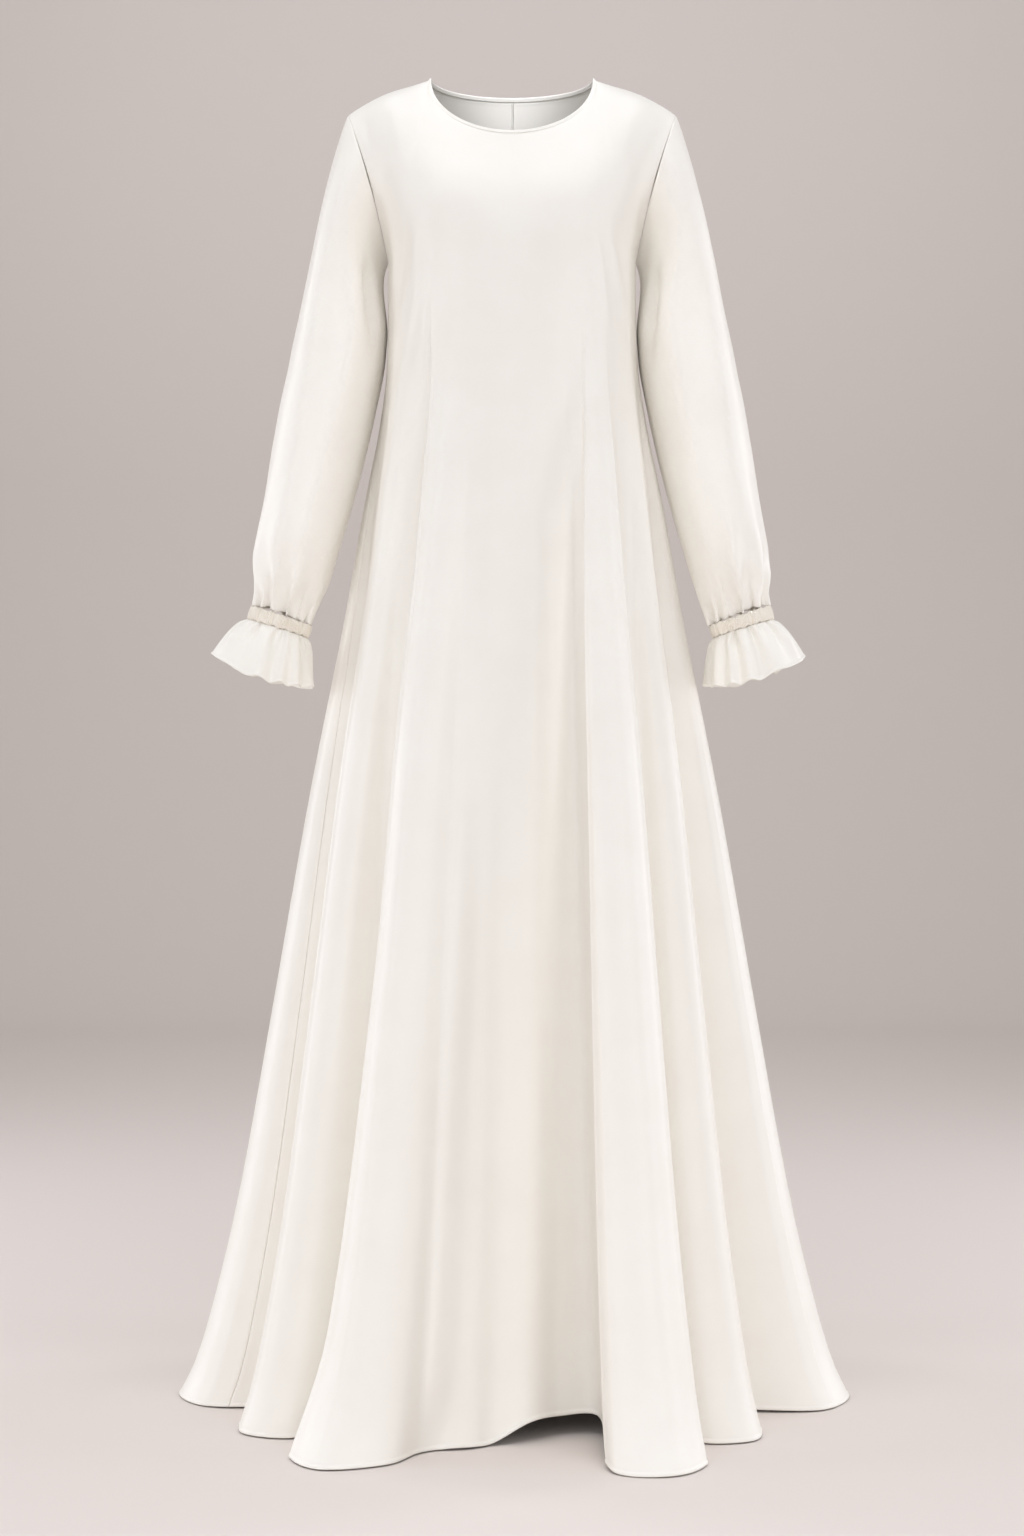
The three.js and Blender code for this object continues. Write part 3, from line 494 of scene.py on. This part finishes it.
def tubeGrid(side, rows, azimuth, drop, swell):
    # rings of an oval tube whose axis leans out and forward; swell moves a point off the axis
    angle = np.radians(azimuth)[None]
    out, ahead = side * np.sin(angle), np.cos(angle)
    columns = (throughRows(rows[:, 0], rows[:, k], drop)[:, None] for k in range(1, 6))
    across, depth, halfWidth, halfDepth, tip = columns
    across = across - side * armSkew * (drop[:, None] - sleeveTop) / (sleeveEnd - sleeveTop)
    half = (halfWidth + swell) * out
    tip = np.radians(tip)
    level = cut["holdDrop"] - drop[:, None]
    x = side * (across + half * np.cos(tip))
    return stack(x, depth - (halfDepth + swell) * ahead, level + half * np.sin(tip))


gathers = {
    "shortCount": 13, "shortDepth": 2.6, "shortLength": 55, "longCount": 7, "longDepth": 3.4,
    "longLength": 190, "innerShare": 0.35, "bunching": 2, "phase": 0.6, "softened": 0.6, "puff": 1.6,
    "puffLength": 30, "opens": 1.8, "fullTo": 0.1,
}


def gatherSwell(side, azimuth, drop):
    # the broad waves that the gathers send up the sleeve, weaker on its inner side
    angle, above = np.radians(azimuth)[None], sleeveEnd - drop[:, None]
    short = gathers["shortDepth"] * (1 - ease(0, gathers["shortLength"], above))
    long = gathers["longDepth"] * (1 - ease(0, gathers["longLength"], above))
    share = mix(gathers["innerShare"], 1, ease(-1, 0.2, side * np.sin(angle)))
    turn = gathers["longCount"] * angle + gathers["bunching"] * np.sin(angle) + gathers["phase"] * side
    return short * np.sin(gathers["shortCount"] * angle + side) + long * share * np.sin(turn)


def armholeRing(side, azimuth):
    # the sleeve is sewn to the side edges of the front and the back
    angle = np.radians(azimuth)
    share = (1 - side * np.sin(angle)) / 2
    ofFront = upperGrid(np.array([side * 90.0]), share, True, blur=0)[:, 0]
    ofBack = upperGrid(np.array([side * 90.001]), share, False, blur=0)[:, 0]
    return np.where((np.cos(angle) >= 0)[:, None], ofFront, ofBack)


# how the cloth leaves the armhole: outwards, more so in front, behind and under the arm, and forwards
headSlope = {"out": 0.38, "outAtFront": 0.3, "outInside": 0.12, "forward": 0.34}


def sleeveHead(side, azimuth, share):
    # each thread is a cubic that leaves the armhole on its own slope and runs into the tube
    angle = np.radians(azimuth)
    out = side * np.sin(angle)
    start = armholeRing(side, azimuth) + np.array([side * seam["gap"], 0, 0])
    first = np.array([sleeveTop])
    end = tubeGrid(side, sleeveRows, azimuth, first, gatherSwell(side, azimuth, first))[0]
    ringAt, ringBelow = (tubeGrid(side, sleeveRows, azimuth, drop, 0)[0] for drop in (first, first + 8))
    arrive = ringBelow - ringAt
    length = np.linalg.norm(end - start, axis=-1, keepdims=True)
    sideways = headSlope["out"] + headSlope["outAtFront"] * (1 - out * out)
    sideways = sideways + headSlope["outInside"] * np.maximum(0, -out)
    leave = stack(side * sideways, -headSlope["forward"] * np.cos(angle), -np.ones_like(out))
    leave *= length / np.linalg.norm(leave, axis=-1, keepdims=True)
    arrive = arrive * length / np.linalg.norm(arrive, axis=-1, keepdims=True)
    t = share[:, None, None]
    keep = (1 + 2 * t) * (1 - t) ** 2 * start + t * t * (3 - 2 * t) * end
    return keep + t * (1 - t) ** 2 * leave + t * t * (t - 1) * arrive


def tubeCreases(side, azimuth, drop, rows):
    # each row is a ridge or trough down the tube: a bell across a drifting azimuth, fading at both ends
    height = np.zeros((drop.size, azimuth.size))
    for start, end, drop0, drop1, width, peak in rows:
        t = (drop[:, None] - drop0) / (drop1 - drop0)
        off = awayFrom(side, azimuth, mix(start, end, np.clip(t, 0, 1)))
        fade = ease(0, creaseShape["tubeSwell"], t) * ease(1, creaseShape["tubeDie"], t)
        height += peak * fade * bell(off, width)
    return height


sleeveCreases = {  # by side: azimuth to the outer side at both ends, drops, width, height
    -1: [
        (-38, -52, 120, 330, 7, -11.2), (8, 2, 150, 560, 15, -5.12), (-16, -10, 170, 540, 12, 3.84),
        (44, 36, 90, 420, 16, 3.52), (70, 62, 70, 260, 10, -2.88), (150, 140, 120, 520, 16, -4.8),
        (-150, -140, 150, 500, 14, -4.16), (110, 100, 200, 560, 18, 3.2),
    ],
    1: [
        (-40, -54, 130, 340, 7, -9.6), (12, 6, 180, 560, 16, -4.48), (-14, -20, 160, 470, 12, 3.52),
        (50, 44, 80, 460, 18, 3.84), (74, 70, 64, 230, 9, -2.56), (146, 136, 110, 500, 15, -5.12),
        (-146, -150, 160, 520, 15, -3.84), (104, 96, 220, 560, 18, 3.52),
    ],
}
wristGathers = {  # by side: azimuth to the outer side, length, width at the casing, depth
    -1: [
        (-62, 44, 5, 8.82), (-41, 70, 5.5, 10.5), (-22, 38, 4, 7.56), (-3, 96, 6, 11.76),
        (17, 42, 4.5, 7.98), (33, 84, 6, 11.76), (54, 40, 4.5, 8.4), (76, 60, 6, 9.66),
        (99, 36, 5, 7.56), (121, 72, 6, 10.5), (143, 44, 5, 8.4), (164, 80, 6, 10.5), (188, 40, 5, 8.4),
        (210, 66, 6, 10.08), (234, 46, 5, 8.4), (262, 52, 5.5, 8.4),
    ],
    1: [
        (-70, 40, 5, 7.98), (-48, 62, 5.5, 10.08), (-26, 90, 6, 11.34), (-8, 40, 4.5, 7.98),
        (12, 56, 5, 9.66), (29, 104, 6.5, 12.18), (51, 44, 5, 8.4), (70, 70, 5.5, 10.08),
        (93, 38, 5, 7.98), (115, 66, 6, 10.08), (138, 42, 5, 8.4), (160, 76, 6, 10.5),
        (184, 44, 5, 8.4), (206, 70, 6, 10.08), (231, 40, 5, 7.98), (257, 58, 5.5, 8.82),
    ],
}


def gatherHeight(side, azimuth, drop, rows):
    # a gather is a trough that starts deep and narrow at the casing and opens out as it runs up
    above = sleeveEnd - drop[:, None]
    puff = gathers["puff"] * (1 - ease(0, gathers["puffLength"], above))
    height = puff * np.ones((drop.size, azimuth.size))
    for centre, run, width, depth in rows:
        spread = width * (1 + gathers["opens"] * np.clip(above / run, 0, 1))
        shallow = 1 - ease(gathers["fullTo"], 1, above / run)
        height -= depth * shallow * bell(awayFrom(side, azimuth, centre), spread)
    return height


sleeve = {"columns": 240, "headRows": 56, "headDrop": 60, "calmBy": 30}


def buildSleeve(name, side, material):
    azimuth = roundTube(sleeve["columns"])
    share = np.concatenate([[0, 0.004, 0.009, 0.016], np.linspace(0.025, 0.985, sleeve["headRows"])])
    drop = np.concatenate([np.linspace(sleeveTop, 560, 70), np.linspace(561, sleeveEnd, 40)])
    head = sleeveHead(side, azimuth, share)
    arm = tubeGrid(side, sleeveRows, azimuth, drop, gathers["softened"] * gatherSwell(side, azimuth, drop))
    points = np.concatenate([head, arm])
    drops = np.concatenate([mix(sleeve["headDrop"], sleeveTop, share), drop])
    height = tubeCreases(side, azimuth, drops, sleeveCreases[side])
    height = height + gatherHeight(side, azimuth, drops, wristGathers[side])
    fromSeam = np.linalg.norm(points - points[:1], axis=-1)
    points = push(points, height * ease(0, sleeve["calmBy"], fromSeam) + turnedEdge(fromSeam), closed=True)
    piece = gridMesh(name + "_cloth", points, closed=True)
    giveWall(piece, cloth["wall"])
    finishPiece(piece, name, material)
    print("sleeve", name, points.shape[:2])
    return piece


cuffRows = np.array([(600, 253, -18, 34.4, 33.4, 18.4), (613.6, 257.1, -19, 34.4, 33.4, 17.2)])
cuffPinches = {  # by side: azimuth to the outer side, width, depth
    -1: [
        (-52, 2.4, 2.4), (-20, 2.2, 1.8), (8, 2.6, 2.85), (40, 2.2, 2.1), (66, 2.4, 2.25),
        (118, 2.6, 2.55), (170, 2.4, 2.25), (230, 2.4, 2.4),
    ],
    1: [
        (-58, 2.4, 2.25), (-28, 2.4, 1.95), (14, 2.4, 2.25), (36, 2.6, 2.7), (74, 2.2, 1.95),
        (126, 2.6, 2.55), (176, 2.4, 2.25), (236, 2.4, 2.25),
    ],
}
cuff = {
    "columns": 648, "rows": 19, "ribs": 108, "rib": 1.1, "belly": 0.9, "bellyPower": 0.6, "wall": 1.2,
    "drift": 2.2, "jitter": 1.6, "uneven": 0.25, "ribLean": 0.5, "pinchLean": 2.5, "edgeWave": 0.5,
    "shiftWave": 0.35,
}


def buildCuff(name, side, material):
    # a narrow belly of cloth between two stitch lines, drawn up into fine uneven ribs and deeper pinches
    azimuth = roundTube(cuff["columns"])
    down = np.linspace(0, 1, cuff["rows"])[:, None]
    drop = mix(cuffRows[0, 0], cuffRows[1, 0], down[:, 0])
    turn = side * np.radians(azimuth)[None]
    ribPhase = cuff["ribs"] * turn + cuff["drift"] * np.sin(5 * turn + 1)
    ribPhase = ribPhase + cuff["jitter"] * np.sin(13 * turn)
    uneven = 1 - cuff["uneven"] + cuff["uneven"] * np.sin(9 * turn + 2 * side) * np.cos(4 * turn)
    ribs = cuff["rib"] * uneven * (0.5 + 0.5 * np.sin(ribPhase + cuff["ribLean"] * down))
    swell = cuff["belly"] * np.sin(math.pi * down) ** cuff["bellyPower"] + ribs
    for centre, width, depth in cuffPinches[side]:
        off = awayFrom(side, azimuth, centre)
        swell = swell - depth * bell(off - cuff["pinchLean"] * (down - 0.5), width)
    points = tubeGrid(side, cuffRows, azimuth, drop, swell)
    points[..., 2] += cuff["edgeWave"] * np.sin(17 * turn + 3 * side) * (1 - 2 * down)
    points[..., 2] += cuff["shiftWave"] * np.sin(29 * turn)
    piece = gridMesh(name + "_casing", points, closed=True)
    giveWall(piece, cuff["wall"])
    finishPiece(piece, name, material)
    print("cuff", name, points.shape[:2])
    return piece


ruffleRows = np.array([
    (614, 257.2, -19, 34.6, 33.6, 17.2), (619, 259.2, -19.5, 40.4, 39, 16.6),
    (634.5, 264.2, -21, 49, 47.5, 16), (662, 270.8, -22, 58.5, 56, 17),
])
ruffle = {
    "columns": 360, "waves": 9, "topDepth": 0.6, "hemDepth": 2.6, "hemLift": 2, "droop": 9,
    "unevenness": 0.35, "puff": 1.2, "tall": 2.8, "proud": 0.45, "groove": 0.15, "grooveAt": 3.3,
    "grooveWidth": 0.5,
}
flute = {  # each varied value comes with how far it varies
    "count": 15, "shift": 7, "depth": 6.4, "depthVaries": 2.0, "width": 3.2, "widthVaries": 0.6,
    "opens": 5.5, "length": 1.15, "lengthVaries": 0.5, "fades": 0.85,
}


def fluteSwell(side, azimuth, down):
    # each flute is a trough drawn tight at the casing that opens and grows shallow towards the hem
    swell = 0
    for i in range(flute["count"]):
        centre = i * 360 / flute["count"] + flute["shift"] * math.sin(2.4 * i + side)
        depth = flute["depth"] + flute["depthVaries"] * math.sin(3.1 * i + 2 * side)
        width = flute["width"] + flute["widthVaries"] * math.sin(1.7 * i) + flute["opens"] * down
        length = flute["length"] + flute["lengthVaries"] * math.sin(4.3 * i + side)
        strength = ease(-0.05, 0.1, down) * (1 - flute["fades"] * ease(0.1, length, down))
        swell = swell - depth * strength * bell(awayFrom(side, azimuth, centre), width)
    return swell


def buildRuffle(name, side, material):
    # a flared tube: slow waves that grow towards the hem, and flutes drawn in under the casing
    azimuth = roundTube(ruffle["columns"])
    top, hem = ruffleRows[0, 0], ruffleRows[-1, 0]
    drop = np.concatenate([np.linspace(top, hem - 4, 46), hem - np.array([3.4, 3, 2.5, 2, 1.5, 1, 0.5, 0])])
    down = (drop[:, None] - top) / (hem - top)
    angle = np.radians(azimuth)[None]
    uneven = ruffle["unevenness"] * np.sin(2 * angle + side)
    wave = np.sin(ruffle["waves"] * angle + 1.3 * uneven * ruffle["waves"] + 0.8 * side)
    swell = mix(ruffle["topDepth"], ruffle["hemDepth"], down**1.2) * wave
    swell = swell + fluteSwell(side, azimuth, down) + ruffle["puff"] * ease(0, 0.12, down)
    points = tubeGrid(side, ruffleRows, azimuth, drop, swell)
    points[..., 2] += ruffle["hemLift"] * down**2 * wave - ruffle["droop"] * down * np.cos(angle) ** 2
    points = push(points, rolledHem(hem - drop[:, None] + 0 * angle, ruffle), closed=True)
    piece = gridMesh(name + "_cloth", points, closed=True)
    giveWall(piece, cloth["wall"])
    finishPiece(piece, name, material)
    print("ruffle", name, points.shape[:2])
    return piece


binding = {
    "corner": 52.2, "overlap": 1.1, "height": 3.8, "thickness": 2.1, "wall": 0.45, "lean": 0.75,
    "frontLean": 0.55, "backLean": -0.35, "rise": 0.85,
}


def buildBinding(name, material):
    # a flattened tube carried round the neck edge, standing on it and leaning in with the neck
    halfway, corner = np.linspace(0, 1, 161)[:-1], binding["corner"]
    ofFront, ofBack = mix(-corner, corner, halfway), mix(180 - corner, 180 + corner, halfway)
    edges, leans, turns, sides = [], [], [], []
    halves = ((ofFront, True, binding["frontLean"]), (ofBack, False, binding["backLean"]))
    for azimuth, front, lean in halves:
        wrapped = np.where(azimuth > 180, azimuth - 360, azimuth)
        edges.append(topEdge(wrapped, front))
        turn = np.clip(sideShare(wrapped, front) / cut["neckShare"], 0, 1) * math.pi / 2
        turns.append(turn)
        sides.append(np.sign(wrapped))
        leans.append(np.full(azimuth.shape, lean))
    edge, lean, turn, sign = (np.concatenate(a) for a in (edges, leans, turns, sides))
    up = stack(-binding["lean"] * sign * np.sin(turn), lean * np.cos(turn), binding["rise"])
    up /= np.linalg.norm(up, axis=-1, keepdims=True)
    along = np.roll(edge, -1, axis=0) - np.roll(edge, 1, axis=0)
    outward = np.cross(along, up)
    outward /= np.linalg.norm(outward, axis=-1, keepdims=True)
    # the strip's section: up the outside, over the edge in a half circle and down the inside
    half, over = binding["thickness"] / 2, np.linspace(0, math.pi, 9)
    leg = np.linspace(-binding["overlap"], binding["height"] - half, 5)[:, None]
    rise = np.concatenate([leg[:, 0], leg[-1, 0] + half * np.sin(over[1:-1]), leg[::-1, 0]])[::-1]
    aside = np.concatenate([np.full(5, half), half * np.cos(over[1:-1]), np.full(5, -half)])[::-1]
    aside = (aside - cloth["wall"] / 2)[:, None, None] * outward[None]
    points = edge[None] + up[None] * rise[:, None, None] + aside
    piece = gridMesh(name + "_strip", points, closed=True)
    giveWall(piece, binding["wall"])
    finishPiece(piece, name, material)
    print("binding", points.shape[:2])
    return piece


def linear(hexColour):
    # sRGB hex to linear light
    parts = [int(hexColour[i:i + 2], 16) / 255 for i in (1, 3, 5)]
    return tuple(p / 12.92 if p <= 0.04045 else ((p + 0.055) / 1.055) ** 2.4 for p in parts) + (1.0,)


def addNode(tree, kind, settings=None, links=None):
    # adds a node, sets its properties and inputs, and links its inputs from other nodes' outputs
    made = tree.nodes.new(kind)
    for key, value in (settings or {}).items():
        if isinstance(key, str) and hasattr(made, key):
            setattr(made, key, value)
        else:
            made.inputs[key].default_value = value
    for key, (other, output) in (links or {}).items():
        tree.links.new(other.outputs[output], made.inputs[key])
    return made


def addNoise(tree, place, sizeMm, detail, roughness):
    settings = {"Scale": 1000 / sizeMm, "Detail": detail, "Roughness": roughness}
    return addNode(tree, "ShaderNodeTexNoise", settings, {"Vector": (place, "Object")})


crepe = {
    "lit": "#F7F4EC", "deep": "#F6F2EA", "roughness": 0.42, "sheen": 0.1, "grainMm": 0.9, "threadMm": 1.1,
    "cloudMm": 55,
}
elastic = {
    "lit": "#F2ECE0", "deep": "#EDE5D7", "roughness": 0.5, "sheen": 0.12, "grainMm": 0.8, "threadMm": 1.0,
    "cloudMm": 12,
}


def satinBackCrepe(name, values):
    # polyester satin-back crepe, woven from high-twist yarn: a pebbled matt face over a soft, broad lustre.
    # Yarns are 0.3 mm apart, too fine to show, so the weave is drawn about three times coarser.
    material = bpy.data.materials.new(name)
    material.use_nodes = True
    tree = material.node_tree
    tree.nodes.clear()
    place = addNode(tree, "ShaderNodeTexCoord")
    clouds = addNoise(tree, place, values["cloudMm"], 3.0, 0.5)
    contrast = {"From Min": 0.3, "From Max": 0.6}
    spread = addNode(tree, "ShaderNodeMapRange", contrast, {"Value": (clouds, "Fac")})
    tone = addNode(tree, "ShaderNodeMix", {"data_type": "RGBA"}, {0: (spread, 0)})
    tone.inputs[6].default_value = linear(values["deep"])
    tone.inputs[7].default_value = linear(values["lit"])
    grain = addNoise(tree, place, values["grainMm"], 2.0, 0.6)
    bands = {
        "wave_type": "BANDS", "bands_direction": "X", "Scale": 1000 / values["threadMm"] / 20 * math.pi,
        "Distortion": 1.5, "Detail": 1.0,
    }
    thread = addNode(tree, "ShaderNodeTexWave", bands, {"Vector": (place, "UV")})
    mixed = {"data_type": "FLOAT", "Factor": 0.35}
    pebble = addNode(tree, "ShaderNodeMix", mixed, {2: (grain, "Fac"), 3: (thread, "Fac")})
    bump = addNode(tree, "ShaderNodeBump", {"Strength": 0.12, "Distance": 0.0002}, {"Height": (pebble, 0)})
    ends = {"To Min": values["roughness"] - 0.05, "To Max": values["roughness"] + 0.07}
    rough = addNode(tree, "ShaderNodeMapRange", ends, {"Value": (grain, "Fac")})
    surface = {
        "IOR": 1.46, "Sheen Weight": values["sheen"], "Sheen Roughness": 0.45,
        "Sheen Tint": linear("#FFF6EA"),
    }
    sources = {"Base Color": (tone, 2), "Normal": (bump, "Normal"), "Roughness": (rough, 0)}
    shader = addNode(tree, "ShaderNodeBsdfPrincipled", surface, sources)
    addNode(tree, "ShaderNodeOutputMaterial", None, {0: (shader, 0)})
    return material


ivoryCrepe = satinBackCrepe("ivory satin-back crepe", crepe)
shirredCrepe = satinBackCrepe("shirred crepe over elastic", elastic)
print("materials made")

pieces = {
    "front": buildPanel("front", True, -90, 90, 370, frontCreases, foldEdges, ivoryCrepe),
    "back_left": buildPanel("back_left", False, 90.001, 180, 180, backCreases, backEdges, ivoryCrepe),
    "back_right": buildPanel("back_right", False, -180, -90.001, 180, backCreases, backEdges, ivoryCrepe),
    "neck_binding": buildBinding("neck_binding", ivoryCrepe),
}
for sideName, side in (("left", 1), ("right", -1)):
    pieces["sleeve_" + sideName] = buildSleeve("sleeve_" + sideName, side, ivoryCrepe)
    pieces["cuff_" + sideName] = buildCuff("cuff_" + sideName, side, shirredCrepe)
    pieces["ruffle_" + sideName] = buildRuffle("ruffle_" + sideName, side, ivoryCrepe)
# the studio's lengths are in metres
studio = {
    "floor": -1.4425, "colour": "#E2D9D3", "roughness": 0.85, "specular": 0.2, "floorFront": -7.0,
    "sweepStart": 4.2, "sweepRadius": 1.6, "wallTop": 4.5, "halfWidth": 7.0, "airColour": "#F4EDE3",
    "airStrength": 0.22, "lampColour": "#F6F8FF",
}


def addBackdrop(values):
    # a floor that sweeps up into a wall: flat, a quarter circle, then upright
    turn, radius = np.radians(np.linspace(0, 90, 40)), values["sweepRadius"]
    sweepY, sweepZ = values["sweepStart"] + radius * np.sin(turn), radius * (1 - np.cos(turn))
    y = np.concatenate([[values["floorFront"], -2, 0], sweepY, [values["sweepStart"] + radius]])
    z = np.concatenate([[0, 0, 0], sweepZ, [values["wallTop"]]]) + values["floor"]
    x = np.linspace(-values["halfWidth"], values["halfWidth"], 9)
    grid = stack(-x[None], y[:, None], z[:, None]) * 1000
    backdrop = gridMesh("backdrop", grid)
    paper = bpy.data.materials.new("seamless paper")
    paper.use_nodes = True
    shader = paper.node_tree.nodes["Principled BSDF"]
    shader.inputs["Base Color"].default_value = linear(values["colour"])
    shader.inputs["Roughness"].default_value = values["roughness"]
    shader.inputs["Specular IOR Level"].default_value = values["specular"]
    backdrop.data.materials.append(paper)


softboxes = [  # name, place, aim, size, power in watts, spread in degrees
    ("keyLeft", (-2.0, -3.1, -0.1), (0, 0, -0.8), (1.0, 2.0), 20, 180),
    ("keyRight", (2.0, -3.1, -0.1), (0, 0, -0.8), (1.0, 2.0), 20, 180),
    ("sideLeft", (-3.0, -0.5, -0.5), (0, 0, -0.9), (0.8, 2.2), 19, 180),
    ("sideRight", (3.0, -0.5, -0.5), (0, 0, -0.9), (0.8, 2.2), 19, 180),
    ("front", (0, -4.4, -0.2), (0, 0, -0.8), (3.4, 2.4), 30, 180),
    ("overFront", (0, -1.5, 2.7), (0, -0.5, -1.4425), (3.6, 2.4), 45, 180),
    ("overhead", (0, 0.6, 2.8), (0, 0.6, -1.4425), (4.0, 2.6), 56, 180),
    ("rearLeft", (-2.4, 1.3, -0.3), (0, 0, -0.8), (0.8, 2.2), 21, 180),
    ("rearRight", (2.4, 1.3, -0.3), (0, 0, -0.8), (0.8, 2.2), 21, 180),
    ("floorFront", (0, -1.5, 1.2), (0, -0.95, -1.4425), (3.0, 0.4), 1.6, 50),
    ("sleeveFillLeft", (0.6, -3.0, -0.3), (-0.225, 0, -0.36), (0.1, 0.5), 0.016, 5),
    ("sleeveFillRight", (-0.6, -3.0, -0.3), (0.225, 0, -0.36), (0.1, 0.5), 0.016, 5),
    ("neckFill", (0, -0.45, 0.35), (0, 0.055, -0.01), (0.05, 0.03), 0.04, 20),
    ("wallWash", (0, 3.2, 2.6), (0, 5.8, 0.3), (5.0, 0.6), 50, 180),
]


def addSoftbox(name, place, aim, size, power, spread):
    light = bpy.data.lights.new(name, "AREA")
    light.shape = "RECTANGLE"
    light.size, light.size_y = size
    light.energy = power
    light.color = linear(studio["lampColour"])[:3]
    light.spread = math.radians(spread)
    lamp = bpy.data.objects.new(name, light)
    lamp.location = place
    lamp.visible_camera = False  # a camera behind the garment would look towards the softboxes in front
    lamp.rotation_euler = (Vector(aim) - Vector(place)).to_track_quat("-Z", "Y").to_euler()
    scene.collection.objects.link(lamp)


addBackdrop(studio)
for box in softboxes:
    addSoftbox(*box)
world = bpy.data.worlds.new("studioAir")
world.use_nodes = True
air = world.node_tree.nodes["Background"]
air.inputs[0].default_value = linear(studio["airColour"])
air.inputs[1].default_value = studio["airStrength"]
scene.world = world
scene.view_settings.view_transform = "Standard"
print("studio lit")
